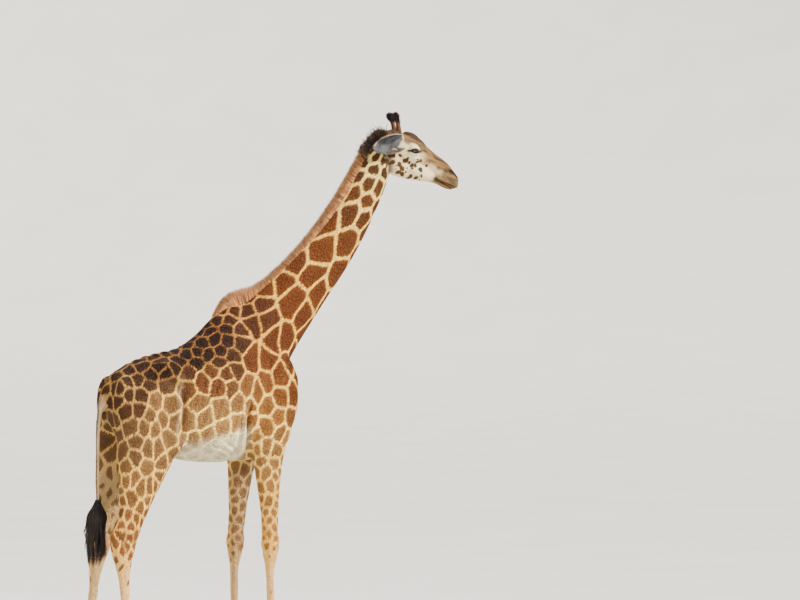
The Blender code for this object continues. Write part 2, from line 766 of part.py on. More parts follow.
def slot_of(name):
    for word, slot in (
        ("claw", "horn"),
        ("eye", "eye"),
        ("switch", "dark_hair"),
        ("mane", "mane"),
        ("jaw", "muzzle"),
    ):
        if word in name:
            return slot
    return "coat"


def main():
    clear_scene()
    body, head = make_whole_body(), make_whole_head()
    parts = {}
    for side, word in ((-1, "right"), (1, "left")):
        parts[f"ossicone_{word}"] = make_ossicone(f"ossicone_{word}", side, head)
        parts[f"ear_{word}"] = make_ear(f"ear_{word}", side, head)
        parts[f"eye_{word}"] = make_eye(f"eye_{word}", side)
    parts["mane"] = make_mane(body, head)
    parts["tail"] = make_tail(body)
    parts["tail_switch"] = make_switch()

    keep_side(head, HEAD_PLANE[0] + HEAD_PLANE[1] * GAP / 2, -HEAD_PLANE[1])
    keep_side(body, HEAD_PLANE[0] - HEAD_PLANE[1] * GAP / 2, HEAD_PLANE[1])
    cut_eye_sockets(head)
    cut_nostrils(head)
    parts["lower_jaw"] = make_jaw(head)
    parts["head"] = keep_largest(head)
    parts["neck"] = part_at(body, NECK_PLANE, "neck")
    parts.update(make_legs(body))
    parts["trunk"] = keep_largest(body)
    finish_parts(parts)


main()
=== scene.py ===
"""A standing giraffe cow, dressed for display: hide, coat, mane, switch, eyes and hooves.

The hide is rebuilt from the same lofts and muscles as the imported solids, on a finer mesh, then modelled
with folds, tendons, lids, nostrils and lips. Its patches are painted on it and its hair is rooted in it.
"""

import math

import bmesh
import bpy
import numpy as np
from bpy.props import FloatProperty, PointerProperty
from mathutils import Matrix, Vector, noise
from mathutils.bvhtree import BVHTree


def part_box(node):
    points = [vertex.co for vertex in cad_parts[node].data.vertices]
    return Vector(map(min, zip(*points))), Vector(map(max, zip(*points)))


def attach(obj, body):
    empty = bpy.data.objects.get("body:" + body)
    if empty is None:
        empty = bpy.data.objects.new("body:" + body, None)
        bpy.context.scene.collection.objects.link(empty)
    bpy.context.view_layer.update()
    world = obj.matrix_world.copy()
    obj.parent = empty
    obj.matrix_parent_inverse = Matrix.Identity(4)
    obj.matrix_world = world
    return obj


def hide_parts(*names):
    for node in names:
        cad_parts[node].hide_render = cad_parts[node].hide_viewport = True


bl_info = {
    "name": "Standing giraffe",
    "version": (1, 0, 0),
    "blender": (4, 5, 0),
    "location": "3D View > Sidebar > Giraffe",
    "description": "Dresses a life-size giraffe model with hide, patches, hair, eyes and hooves",
    "category": "Mesh",
}

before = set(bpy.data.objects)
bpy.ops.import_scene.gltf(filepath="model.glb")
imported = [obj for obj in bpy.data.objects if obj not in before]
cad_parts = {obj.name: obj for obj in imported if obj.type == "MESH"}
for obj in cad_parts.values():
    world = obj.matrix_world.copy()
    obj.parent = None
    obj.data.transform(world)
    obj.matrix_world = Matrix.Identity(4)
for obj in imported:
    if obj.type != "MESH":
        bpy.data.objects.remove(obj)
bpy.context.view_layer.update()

# Carriage of the head: where the poll is, and how the head turns on the neck.
POLL = Vector((1.49, 0.0, 3.735))
HEAD_PITCH = math.radians(26.5)
HEAD_YAW = math.radians(-10)
HEAD_TO_BODY = (
    Matrix.Translation(POLL)
    @ Matrix.Rotation(HEAD_YAW, 4, "Z")
    @ Matrix.Rotation(HEAD_PITCH, 4, "Y")
)

# Trunk: x, top, bottom, half width, and how much narrower the top is than the bottom.
TRUNK = [
    (-0.755, 1.99, 1.86, 0.050, 0.00),
    (-0.720, 2.07, 1.74, 0.120, 0.00),
    (-0.630, 2.14, 1.66, 0.180, 0.05),
    (-0.500, 2.20, 1.60, 0.218, 0.10),
    (-0.350, 2.240, 1.535, 0.245, 0.12),
    (-0.180, 2.275, 1.480, 0.272, 0.12),
    (-0.020, 2.370, 1.458, 0.285, 0.18),
    (0.120, 2.500, 1.458, 0.275, 0.28),
    (0.250, 2.580, 1.470, 0.250, 0.36),
    (0.400, 2.560, 1.490, 0.225, 0.34),
    (0.550, 2.420, 1.560, 0.195, 0.20),
    (0.670, 2.230, 1.690, 0.150, 0.05),
    (0.735, 2.060, 1.810, 0.080, 0.00),
]

# Neck, from inside the trunk to inside the skull: x, z, half depth across the neck, half width.
NECK = [
    (0.340, 2.180, 0.345, 0.190),
    (0.510, 2.370, 0.282, 0.165),
    (0.703, 2.567, 0.234, 0.138),
    (0.885, 2.761, 0.203, 0.116),
    (1.068, 2.963, 0.178, 0.100),
    (1.232, 3.188, 0.155, 0.090),
    (1.348, 3.387, 0.138, 0.082),
    (1.422, 3.545, 0.124, 0.076),
    (1.470, 3.680, 0.096, 0.070),
]

# Legs: x, distance from the midline, z, half depth fore and aft, half width.
FORELEG = [
    (0.500, 0.115, 2.230, 0.120, 0.060),
    (0.530, 0.140, 2.080, 0.165, 0.080),
    (0.520, 0.155, 1.920, 0.190, 0.092),
    (0.475, 0.165, 1.740, 0.185, 0.090),
    (0.454, 0.172, 1.580, 0.145, 0.078),
    (0.447, 0.176, 1.420, 0.112, 0.068),
    (0.446, 0.180, 1.260, 0.090, 0.058),
    (0.447, 0.184, 1.110, 0.073, 0.052),
    (0.447, 0.186, 0.960, 0.065, 0.052),
    (0.446, 0.187, 0.870, 0.065, 0.058),
    (0.444, 0.187, 0.790, 0.054, 0.049),
    (0.440, 0.187, 0.700, 0.037, 0.036),
    (0.440, 0.187, 0.550, 0.034, 0.031),
    (0.443, 0.187, 0.380, 0.035, 0.032),
    (0.447, 0.187, 0.275, 0.043, 0.041),
    (0.453, 0.187, 0.210, 0.050, 0.048),
    (0.472, 0.187, 0.150, 0.050, 0.052),
    (0.497, 0.187, 0.095, 0.066, 0.062),
    (0.507, 0.187, 0.040, 0.068, 0.062),
]
HINDLEG = [
    (-0.480, 0.085, 2.080, 0.150, 0.080),
    (-0.480, 0.120, 1.930, 0.225, 0.112),
    (-0.490, 0.145, 1.760, 0.255, 0.120),
    (-0.512, 0.160, 1.600, 0.240, 0.108),
    (-0.560, 0.168, 1.440, 0.198, 0.088),
    (-0.602, 0.172, 1.300, 0.158, 0.072),
    (-0.640, 0.174, 1.160, 0.119, 0.060),
    (-0.682, 0.175, 1.050, 0.103, 0.055),
    (-0.728, 0.175, 0.950, 0.107, 0.056),
    (-0.742, 0.175, 0.870, 0.094, 0.056),
    (-0.738, 0.175, 0.780, 0.070, 0.046),
    (-0.732, 0.175, 0.680, 0.048, 0.036),
    (-0.722, 0.175, 0.540, 0.039, 0.031),
    (-0.713, 0.175, 0.380, 0.037, 0.031),
    (-0.708, 0.175, 0.275, 0.043, 0.039),
    (-0.700, 0.175, 0.210, 0.049, 0.045),
    (-0.681, 0.175, 0.150, 0.049, 0.049),
    (-0.658, 0.175, 0.095, 0.062, 0.058),
    (-0.648, 0.175, 0.040, 0.064, 0.058),
]
LEGS = {"fore": FORELEG, "hind": HINDLEG}
# How far each knee or hock, and each foot, is set forward of the stance above.
STANCE = {
    ("fore", -1): (0.018, 0.034),
    ("fore", 1): (-0.064, -0.066),
    ("hind", -1): (0.034, 0.030),
    ("hind", 1): (0.018, -0.120),
}
STANCE_HEIGHTS = (0.10, 0.87, 1.70)
LEG_FRONT_X = -0.1  # hind legs lie behind this x, forelegs in front of it
HEAD_ABOVE = 3.3  # the whole head lies above this height

# Feet: the coronet, which slopes down to the heel, and the two claws under it.
CORONET_HEIGHT = 0.088
CORONET_SLOPE = 0.34
CLAW_LENGTH = {"fore": 0.170, "hind": 0.158}
CLAW_WIDTH = {"fore": 0.066, "hind": 0.061}
CLEFT = 0.005

# Head, in its own frame: x forward from the poll, z up. Skull and muzzle: x, top, bottom, half width.
SKULL = [
    (-0.075, 0.035, -0.090, 0.050),
    (-0.035, 0.078, -0.100, 0.072),
    (0.030, 0.106, -0.095, 0.084),
    (0.110, 0.128, -0.075, 0.092),
    (0.190, 0.150, -0.062, 0.090),
    (0.260, 0.150, -0.056, 0.079),
    (0.330, 0.124, -0.052, 0.064),
    (0.400, 0.109, -0.050, 0.055),
    (0.480, 0.097, -0.050, 0.049),
    (0.550, 0.076, -0.053, 0.051),
    (0.605, 0.045, -0.058, 0.052),
    (0.645, 0.015, -0.055, 0.040),
    (0.660, -0.014, -0.045, 0.020),
]
# Lower jaw: x, top, bottom, half width.
JAW = [
    (0.085, -0.020, -0.135, 0.036),
    (0.130, -0.030, -0.176, 0.046),
    (0.190, -0.030, -0.177, 0.048),
    (0.280, -0.035, -0.156, 0.044),
    (0.370, -0.040, -0.129, 0.037),
    (0.450, -0.045, -0.098, 0.031),
    (0.510, -0.050, -0.086, 0.034),
    (0.570, -0.055, -0.085, 0.038),
    (0.610, -0.058, -0.079, 0.031),
    (0.630, -0.062, -0.072, 0.016),
]
# Forms on both sides of the head: centre, radii. The y of each is mirrored.
HEAD_MUSCLES = [
    ((0.155, 0.040, -0.075), (0.100, 0.036, 0.092)),  # masseter
    ((0.300, 0.028, -0.060), (0.170, 0.031, 0.056)),  # cheek
    ((0.205, 0.062, 0.000), (0.105, 0.024, 0.032)),  # cheekbone
    ((0.205, 0.074, 0.072), (0.066, 0.030, 0.036)),  # brow over the eye
    ((0.218, 0.076, 0.038), (0.050, 0.030, 0.038)),  # orbit
    ((0.062, 0.040, 0.082), (0.062, 0.036, 0.044)),  # swelling under the ossicone
    ((0.010, 0.048, 0.010), (0.075, 0.040, 0.080)),  # back of the skull
    ((0.598, 0.030, 0.006), (0.044, 0.026, 0.030)),  # nostril wing
    ((0.560, 0.026, -0.045), (0.070, 0.026, 0.018)),  # upper lip
]
FOREHEAD = ((0.185, 0.0, 0.128), (0.075, 0.046, 0.038))
EYE_AT = Vector((0.222, 0.092, 0.040))
EYE_RADIUS = 0.0255
LID_RADII = (0.0350, 0.0290, 0.0330)
MOUTH_FRONT = Vector((0.67, 0.0, -0.0465))
MOUTH_SLOPE = math.radians(3.4)

# Ossicones: from base to tip, in the head's frame: x, y, z, radius.
OSSICONE = [
    (0.068, 0.046, 0.105, 0.0270),
    (0.054, 0.050, 0.135, 0.0210),
    (0.034, 0.054, 0.160, 0.0175),
    (0.010, 0.058, 0.184, 0.0185),
    (-0.010, 0.061, 0.202, 0.0235),
    (-0.022, 0.063, 0.213, 0.0205),
    (-0.030, 0.064, 0.220, 0.0090),
]

# Ear: a cupped leaf. Its root is on the head and its direction is in the head's frame.
EAR_ROOT = Vector((0.112, 0.078, 0.066))
EAR_DIRECTION = Vector((-0.74, 0.24, -0.58)).normalized()
EAR_FACES = Vector((0.10, 0.95, -0.10))
EAR_LENGTH = 0.268
EAR_HALF_WIDTH = 0.068
EAR_THICKNESS = 0.0064
EAR_ROLL_AT_ROOT, EAR_UNROLLING = 112, 66  # degrees

# Tail: x, z, half depth, half width, and its switch of long hair.
TAIL = [
    (-0.660, 2.055, 0.045, 0.040),
    (-0.725, 2.015, 0.040, 0.036),
    (-0.775, 1.930, 0.031, 0.029),
    (-0.800, 1.820, 0.025, 0.024),
    (-0.814, 1.600, 0.021, 0.019),
    (-0.816, 1.400, 0.018, 0.017),
    (-0.816, 1.270, 0.017, 0.016),
    (-0.814, 1.180, 0.018, 0.017),
]
SWITCH = [
    (-0.814, 1.210, 0.020, 0.020),
    (-0.820, 1.120, 0.048, 0.042),
    (-0.828, 1.020, 0.066, 0.056),
    (-0.834, 0.900, 0.072, 0.060),
    (-0.836, 0.800, 0.062, 0.052),
    (-0.840, 0.720, 0.040, 0.036),
    (-0.845, 0.660, 0.014, 0.014),
]

# Mane, from the poll to the withers: x and z of its outer edge, half its height, half width.
MANE = [
    (1.462, 3.815, 0.030, 0.010),
    (1.420, 3.798, 0.048, 0.019),
    (1.350, 3.738, 0.056, 0.024),
    (1.275, 3.650, 0.056, 0.024),
    (1.163, 3.478, 0.056, 0.023),
    (1.062, 3.330, 0.056, 0.023),
    (0.960, 3.200, 0.056, 0.023),
    (0.840, 3.065, 0.056, 0.023),
    (0.730, 2.955, 0.056, 0.023),
    (0.610, 2.850, 0.056, 0.024),
    (0.500, 2.768, 0.058, 0.026),
    (0.400, 2.718, 0.064, 0.030),
    (0.310, 2.698, 0.068, 0.032),
    (0.235, 2.676, 0.066, 0.030),
    (0.170, 2.628, 0.056, 0.024),
    (0.120, 2.555, 0.038, 0.016),
    (0.092, 2.500, 0.020, 0.008),
]

# Larger muscles of the body, each on both sides: centre, radii, and tilt about Y in degrees.
BODY_MUSCLES = [
    ((0.380, 0.125, 2.250), (0.120, 0.055, 0.300), 24),  # blade of the shoulder
    ((0.610, 0.125, 1.990), (0.110, 0.070, 0.140), 20),  # point of the shoulder
    ((0.360, 0.160, 1.720), (0.120, 0.070, 0.150), 30),  # back of the upper arm
    ((-0.340, 0.135, 2.085), (0.130, 0.078, 0.110), 0),  # hip bone
    ((-0.640, 0.120, 1.850), (0.115, 0.085, 0.240), -8),  # buttock
    ((-0.330, 0.200, 1.640), (0.095, 0.062, 0.150), 18),  # front of the thigh
    ((0.300, 0.050, 1.520), (0.240, 0.090, 0.055), 0),  # brisket
    ((0.560, 0.060, 1.720), (0.130, 0.085, 0.180), -25),  # breast
]


# Mesh sizes for the hide, in metres, and how often each part is evened out.
BODY_CELL = 0.0143
HEAD_CELL = 0.0056
BODY_EVENING = 13
HEAD_EVENING = 6
SEAM_EVENING = 24
NECK_RINGS_FROM = 5
# The fine head meets the coarser body at this plane across the upper neck.
JOIN_AT = Vector((1.302, 0.0, 3.310))
JOIN_WAY = Vector((0.50, 0.0, 0.866)).normalized()
JOIN_GAP = 0.010
# How far the hide is set in to leave room for the coat, and its least height above the ground.
COAT_DEPTH = 0.0035
SHORT_COAT_DEPTH = 0.0015
GROUND_CLEARANCE = 0.012


def through(stations, count):
    """Rows along one smooth curve through the stations, evenly spaced by distance."""
    rows = np.array(stations, float)
    steps = np.linalg.norm(np.diff(rows[:, :3], axis=0), axis=1)
    along = np.concatenate([[0.0], np.cumsum(steps)])
    slope = np.gradient(rows, along, axis=0)
    at = np.linspace(0.0, along[-1], count)
    i = np.clip(np.searchsorted(along, at, side="right") - 1, 0, len(rows) - 2)
    span = (along[i + 1] - along[i])[:, None]
    t = (at - along[i])[:, None] / span
    return (
        (2 * t**3 - 3 * t**2 + 1) * rows[i]
        + (t**3 - 2 * t**2 + t) * span * slope[i]
        + (3 * t**2 - 2 * t**3) * rows[i + 1]
        + (t**3 - t**2) * span * slope[i + 1]
    )


def bridge(bm, rings):
    """Quads between neighbouring rings of points, and a face over each end."""
    made = [[bm.verts.new(p) for p in ring] for ring in rings]
    for near, far in zip(made, made[1:]):
        for k in range(len(near)):
            after = (k + 1) % len(near)
            bm.faces.new((near[k], near[after], far[after], far[k]))
    bm.faces.new(reversed(made[0]))
    bm.faces.new(made[-1])


def loft(bm, stations, rings, sides, upright=False):
    """A closed tube. A station is x, y, z, half depth, half width, and how much narrower its top is."""
    rows = through(stations, rings)
    centres = rows[:, :3]
    ways = np.gradient(centres, axis=0)
    found = []
    for centre, way, row in zip(centres, ways, rows):
        along = Vector((1, 0, 0)) if upright else Vector(way).normalized()
        across = Vector((0, 1, 0))
        across = (across - along * across.dot(along)).normalized()
        up = along.cross(across)
        turns = [2 * math.pi * k / sides for k in range(sides)]
        depth, width, narrow = max(row[3], 0.002), max(row[4], 0.002), row[5]
        found.append(
            [
                Vector(centre)
                + up * (depth * math.cos(a))
                + across * (width * math.sin(a) * (1 - narrow * math.cos(a)))
                for a in turns
            ]
        )
    bridge(bm, found)


def ellipsoid(bm, centre, radii, tilt=0.0):
    """A ball stretched to these radii and tilted about Y, in degrees."""
    place = (
        Matrix.Translation(centre)
        @ Matrix.Rotation(math.radians(tilt), 4, "Y")
        @ Matrix.Diagonal((*radii, 1.0))
    )
    ball = bmesh.new()
    bmesh.ops.create_uvsphere(ball, u_segments=28, v_segments=18, radius=1.0, matrix=place)
    pour(ball, bm)


def pour(source, bm):
    """Adds one mesh under construction to another, and frees the first."""
    mesh = bpy.data.meshes.new("poured")
    source.to_mesh(mesh)
    source.free()
    bm.from_mesh(mesh)
    bpy.data.meshes.remove(mesh)


def levels(stations):
    """Stations given by x, top, bottom, half width and an optional narrowing, as loft rows."""
    return [
        (x, 0.0, (top + low) / 2, (top - low) / 2, half, more[0] if more else 0.0)
        for x, top, low, half, *more in stations
    ]


def in_plane(stations):
    """Stations given by x, z, half depth and half width, as loft rows on the midline."""
    return [(x, 0.0, z, depth, width, 0.0) for x, z, depth, width in stations]


def stance_shift(kind, side, z):
    """How far forward of the plain stance a leg is set at this height."""
    joint, foot = STANCE[kind, side]
    return np.interp(z, STANCE_HEIGHTS, (foot, joint, 0.0))


def leg_stations(kind, side):
    """One leg's loft rows, set forward or back by its own stance."""
    return [
        (x + float(stance_shift(kind, side, z)), side * y, z, depth, width, 0.0)
        for x, y, z, depth, width in LEGS[kind]
    ]


def linked(name, data):
    """A new object in the scene, made from this data."""
    obj = bpy.data.objects.new(name, data)
    bpy.context.scene.collection.objects.link(obj)
    return obj


def object_from(bm, name):
    """A mesh object with its faces turned outwards, from a mesh under construction."""
    bmesh.ops.recalc_face_normals(bm, faces=bm.faces)
    mesh = bpy.data.meshes.new(name)
    bm.to_mesh(mesh)
    bm.free()
    return linked(name, mesh)


def apply_modifiers(obj):
    """Turns what the modifiers make of an object into its own mesh."""
    bpy.context.view_layer.update()
    graph = bpy.context.evaluated_depsgraph_get()
    mesh = bpy.data.meshes.new_from_object(obj.evaluated_get(graph))
    obj.modifiers.clear()
    obj.data = mesh
    return obj


def fuse(obj, cell, evening):
    """Makes one even hide round overlapping closed shapes, and smooths it."""
    remesh = obj.modifiers.new("fuse", "REMESH")
    remesh.mode = "VOXEL"
    remesh.voxel_size = cell
    smooth = obj.modifiers.new("smooth", "SMOOTH")
    smooth.factor = 0.5
    smooth.iterations = evening
    return apply_modifiers(obj)


def add_head_shapes(bm):
    """The skull, jaw and face muscles, carried from the head's frame to the top of the neck."""
    head = bmesh.new()
    loft(head, levels(SKULL), 70, 44, upright=True)
    loft(head, levels(JAW), 60, 32, upright=True)
    ellipsoid(head, *FOREHEAD)
    for side in (-1, 1):
        for (x, y, z), radii in HEAD_MUSCLES:
            ellipsoid(head, (x, side * y, z), radii)
        ellipsoid(head, (EYE_AT.x, side * EYE_AT.y, EYE_AT.z), LID_RADII)
        rows = [(x, side * y, z, radius, radius, 0.0) for x, y, z, radius in OSSICONE]
        loft(head, rows, 26, 20)
    head.transform(HEAD_TO_BODY)
    pour(head, bm)


def body_form():
    """Trunk, neck, legs and tail, fused."""
    bm = bmesh.new()
    loft(bm, levels(TRUNK), 80, 56, upright=True)
    loft(bm, in_plane(NECK), 80, 48)
    loft(bm, in_plane(TAIL), 60, 16)
    for side in (-1, 1):
        for kind in ("fore", "hind"):
            loft(bm, leg_stations(kind, side), 170, 30)
        for (x, y, z), radii, tilt in BODY_MUSCLES:
            ellipsoid(bm, (x, side * y, z), radii, tilt)
    add_head_shapes(bm)
    return fuse(object_from(bm, "body_form"), BODY_CELL, BODY_EVENING)


def head_form():
    """The head with the top of the neck, on a finer mesh."""
    bm = bmesh.new()
    add_head_shapes(bm)
    loft(bm, in_plane(NECK)[NECK_RINGS_FROM:], 30, 48)
    return fuse(object_from(bm, "head_form"), HEAD_CELL, HEAD_EVENING)


def cut_open(bm, point, way):
    """Cuts by a plane, drops the side that the way points to, and leaves the rim open."""
    everything = [*bm.verts, *bm.edges, *bm.faces]
    bmesh.ops.bisect_plane(bm, geom=everything, dist=1e-6, plane_co=point, plane_no=way, clear_outer=True)


def join_forms(body, head):
    """Sews the fine head to the body across a narrow gap, as one closed surface."""
    bm = bmesh.new()
    bm.from_mesh(body.data)
    cut_open(bm, JOIN_AT - JOIN_WAY * JOIN_GAP / 2, JOIN_WAY)
    upper = bmesh.new()
    upper.from_mesh(head.data)
    cut_open(upper, JOIN_AT + JOIN_WAY * JOIN_GAP / 2, -JOIN_WAY)
    pour(upper, bm)
    rims = [edge for edge in bm.edges if edge.is_boundary]
    bmesh.ops.bridge_loops(bm, edges=rims)
    bmesh.ops.triangulate(bm, faces=[face for face in bm.faces if len(face.verts) > 4])
    for obj in (body, head):
        bpy.data.objects.remove(obj, do_unlink=True)
    return object_from(bm, "hide")


def read(items, key, width=1, kind=np.float32):
    """One property of all of a mesh's points, edges, faces or corners, as an array."""
    out = np.empty(len(items) * width, kind)
    items.foreach_get(key, out)
    return out.reshape(-1, width) if width > 1 else out


def corners(mesh):
    """The points of a mesh."""
    return read(mesh.vertices, "co", 3).astype(float)


def normals_of(mesh):
    return read(mesh.vertex_normals, "vector", 3).astype(float)


def edges_of(mesh):
    return read(mesh.edges, "vertices", 2, np.int32)


def set_corners(mesh, co):
    """Moves the points of a mesh to these places."""
    mesh.vertices.foreach_set("co", co.astype(np.float32).ravel())
    mesh.update()


def evened(co, edges, weight, times):
    """Laplacian smoothing with a weight for each point."""
    count = len(co)
    a, b = edges[:, 0], edges[:, 1]
    valence = np.bincount(a, minlength=count) + np.bincount(b, minlength=count)
    co = co.copy()
    for _ in range(times):
        total = np.empty_like(co)
        for k in range(3):
            total[:, k] = np.bincount(a, co[b, k], count) + np.bincount(b, co[a, k], count)
        co += (total / np.maximum(valence, 1)[:, None] - co) * weight[:, None]
    return co


def rise(low, high, value):
    """0 below low, 1 above high, and an even curve between them."""
    t = np.clip((value - low) / (high - low), 0.0, 1.0)
    return t * t * (3 - 2 * t)


def fall(low, high, value):
    """1 below low, 0 above high, and an even curve between them."""
    return 1 - rise(low, high, value)


def bell(value, width, other=0.0, other_width=1.0):
    """1 where the value is 0, falling off over about the width, and likewise for the other value."""
    return np.exp(-((value / width) ** 2) - (other / other_width) ** 2)


def moved(points, matrix):
    """Points carried by a 4x4 matrix."""
    m = np.array(matrix)
    return points @ m[:3, :3].T + m[:3, 3]


def to_head(points):
    """Body points in the head's frame."""
    return moved(points, HEAD_TO_BODY.inverted())


def head_share(points, high):
    """1 on the head, 0 behind the jaw and the poll, for body points and the same points on the head."""
    ahead = (high[:, 0] + 0.09) * 0.735 + (high[:, 2] - 0.03) * 0.678
    return rise(-0.006, 0.016, ahead) * (points[:, 2] > HEAD_ABOVE)


def noise_at(points, scale=1.0):
    """Smooth noise at each point."""
    return np.array([noise.noise(Vector(p) * scale) for p in points])


def line_distance(points, line):
    """Distance of each point to a polyline, and how far along it the nearest place is, from 0 to 1."""
    line = np.array(line, float)
    best = np.full(len(points), np.inf)
    place = np.zeros(len(points))
    lengths = np.linalg.norm(np.diff(line, axis=0), axis=1)
    starts = np.concatenate([[0.0], np.cumsum(lengths)])
    for k, (a, b) in enumerate(zip(line, line[1:])):
        t = np.clip(((points - a) @ (b - a)) / max(lengths[k] ** 2, 1e-12), 0.0, 1.0)
        gap = np.linalg.norm(points - (a + t[:, None] * (b - a)), axis=1)
        near = gap < best
        best = np.where(near, gap, best)
        place = np.where(near, (starts[k] + t * lengths[k]) / starts[-1], place)
    return best, place


# Modelled forms of the body. Each is mirrored: points, width, and depth below the surface (or height
# above it where negative), in metres. Leg forms are placed on the plain stance.
FLANK_CREASE = [
    (-0.230, 0.268, 2.02),
    (-0.262, 0.285, 1.93),
    (-0.256, 0.282, 1.83),
    (-0.276, 0.275, 1.72),
    (-0.262, 0.268, 1.64),
]
FLANK_LIP = [
    (-0.250, 0.262, 2.08),
    (-0.298, 0.282, 1.95),
    (-0.294, 0.282, 1.82),
    (-0.314, 0.275, 1.70),
    (-0.298, 0.268, 1.58),
]
ELBOW_CREASE = [(0.276, 0.272, 1.87), (0.256, 0.262, 1.77), (0.266, 0.244, 1.65), (0.300, 0.220, 1.52)]
ELBOW_LIP = [(0.246, 0.280, 1.90), (0.214, 0.268, 1.76), (0.222, 0.248, 1.62), (0.252, 0.210, 1.49)]
BRISKET_CREASES = [
    [(-0.010, 0.200, 1.575), (0.110, 0.200, 1.545), (0.215, 0.180, 1.478)],
    [(0.090, 0.200, 1.600), (0.170, 0.200, 1.560), (0.235, 0.180, 1.505)],
    [(0.030, 0.180, 1.525), (0.120, 0.180, 1.500), (0.195, 0.160, 1.452)],
]
THROAT_GROOVE = [(0.680, 0.100, 2.32), (0.870, 0.085, 2.58), (1.060, 0.076, 2.80), (1.230, 0.070, 3.02)]
NECK_MUSCLE = [(0.560, 0.165, 2.56), (0.730, 0.142, 2.76), (0.900, 0.118, 2.95), (1.080, 0.100, 3.20)]
SIDE_CREASES = (FLANK_CREASE, FLANK_LIP, ELBOW_CREASE, ELBOW_LIP, *BRISKET_CREASES)
BODY_FOLDS = [
    (FLANK_CREASE, 0.015, 0.022),
    (FLANK_LIP, 0.026, -0.008),
    (ELBOW_CREASE, 0.016, 0.028),
    (ELBOW_LIP, 0.022, -0.013),
    *((line, 0.009, 0.006) for line in BRISKET_CREASES),
    ([(0.560, 0.215, 1.98), (0.600, 0.190, 1.82), (0.580, 0.160, 1.68)], 0.024, 0.009),  # before the arm
    ([(0.230, 0.205, 2.42), (0.250, 0.245, 2.20), (0.300, 0.265, 1.98)], 0.030, 0.007),  # behind the blade
    ([(0.400, 0.170, 2.46), (0.440, 0.215, 2.25), (0.500, 0.235, 2.05)], 0.018, -0.006),  # blade's ridge
    ([(-0.380, 0.215, 2.08), (-0.300, 0.250, 1.98), (-0.240, 0.265, 1.90)], 0.034, 0.010),  # hollow flank
    ([(-0.560, 0.225, 1.95), (-0.600, 0.235, 1.75), (-0.640, 0.225, 1.55)], 0.020, 0.007),  # hamstring
    ([(-0.430, 0.270, 1.62), (-0.470, 0.250, 1.45), (-0.530, 0.230, 1.32)], 0.022, 0.006),  # thigh muscle
    ([(-0.655, 0.230, 1.20), (-0.690, 0.232, 1.06), (-0.735, 0.235, 0.97)], 0.016, 0.011),  # before tendon
    ([(-0.655, 0.118, 1.20), (-0.690, 0.116, 1.06), (-0.735, 0.116, 0.97)], 0.016, 0.009),  # inner side
    ([(0.420, 0.226, 0.72), (0.418, 0.222, 0.52), (0.424, 0.222, 0.34)], 0.008, 0.005),  # cannon tendon
    ([(0.420, 0.150, 0.72), (0.418, 0.152, 0.52), (0.424, 0.152, 0.34)], 0.008, 0.004),  # inner side
    ([(-0.745, 0.212, 0.70), (-0.735, 0.208, 0.54), (-0.725, 0.208, 0.35)], 0.009, 0.005),  # hind tendon
    ([(-0.745, 0.140, 0.70), (-0.735, 0.142, 0.54), (-0.725, 0.142, 0.35)], 0.009, 0.004),  # inner side
    (THROAT_GROOVE, 0.022, 0.007),
    (NECK_MUSCLE, 0.034, -0.005),
]
# Rounded swellings and hollows: centre, size, height.
BODY_SWELLS = [
    ((0.490, 0.190, 0.905), 0.036, 0.007),  # bones of the knee, outside
    ((0.500, 0.175, 0.840), 0.030, 0.006),
    ((0.395, 0.190, 0.880), 0.026, 0.008),  # bone behind the knee
    ((0.500, 0.187, 0.960), 0.040, -0.004),
    ((-0.835, 0.175, 0.960), 0.030, 0.010),  # point of the hock
    ((-0.690, 0.205, 0.850), 0.036, 0.006),
    ((-0.700, 0.145, 0.850), 0.036, 0.005),
    ((0.412, 0.187, 0.225), 0.024, 0.007),  # back of the fetlocks
    ((-0.745, 0.175, 0.225), 0.024, 0.007),
    ((0.270, 0.235, 1.640), 0.045, 0.014),  # point of the elbow
    ((-0.350, 0.205, 2.165), 0.050, 0.010),  # point of the hip
    ((-0.275, 0.270, 1.560), 0.055, 0.010),  # kneecap and its fold
    ((-0.640, 0.150, 2.020), 0.050, 0.008),  # pin bone
    ((0.640, 0.150, 2.050), 0.060, 0.008),  # point of the shoulder
    ((0.140, 0.060, 1.450), 0.090, 0.008),
]
RIBS = {"first": 0.20, "step": -0.052, "count": 9, "height": 0.0026, "width": 0.017}
SPINE_BUMPS = {"step": 0.075, "height": 0.003}
FOOT_TAPER = 0.34
OUTER_SIDE_FROM = 0.13


def plain_stance(co):
    """Body points with each leg brought back to the plain stance."""
    out = co.copy()
    for kind, side in STANCE:
        front = co[:, 0] > LEG_FRONT_X
        mine = (front if kind == "fore" else ~front) & (co[:, 1] * side > 0.02)
        mine &= co[:, 2] < STANCE_HEIGHTS[-1]
        out[mine, 0] -= stance_shift(kind, side, co[mine, 2])
    return out


def side_distance(rest, line):
    """Distance to a line as seen from the side, on the outer side of the body only."""
    flat = rest[:, [0, 2]]
    gap, place = line_distance(flat, [(x, z) for x, _, z in line])
    return gap + (np.abs(rest[:, 1]) < OUTER_SIDE_FROM), place


def fold(co, line, width, depth):
    """Push along the normal for one fold, fading out towards both of its ends."""
    by_side = any(line is crease for crease in SIDE_CREASES)
    gap, place = side_distance(co, line) if by_side else line_distance(co, line)
    fade = np.sqrt(np.clip(np.sin(np.pi * np.clip(place * 0.9 + 0.05, 0, 1)), 0, 1))
    return -depth * bell(gap, width) * fade


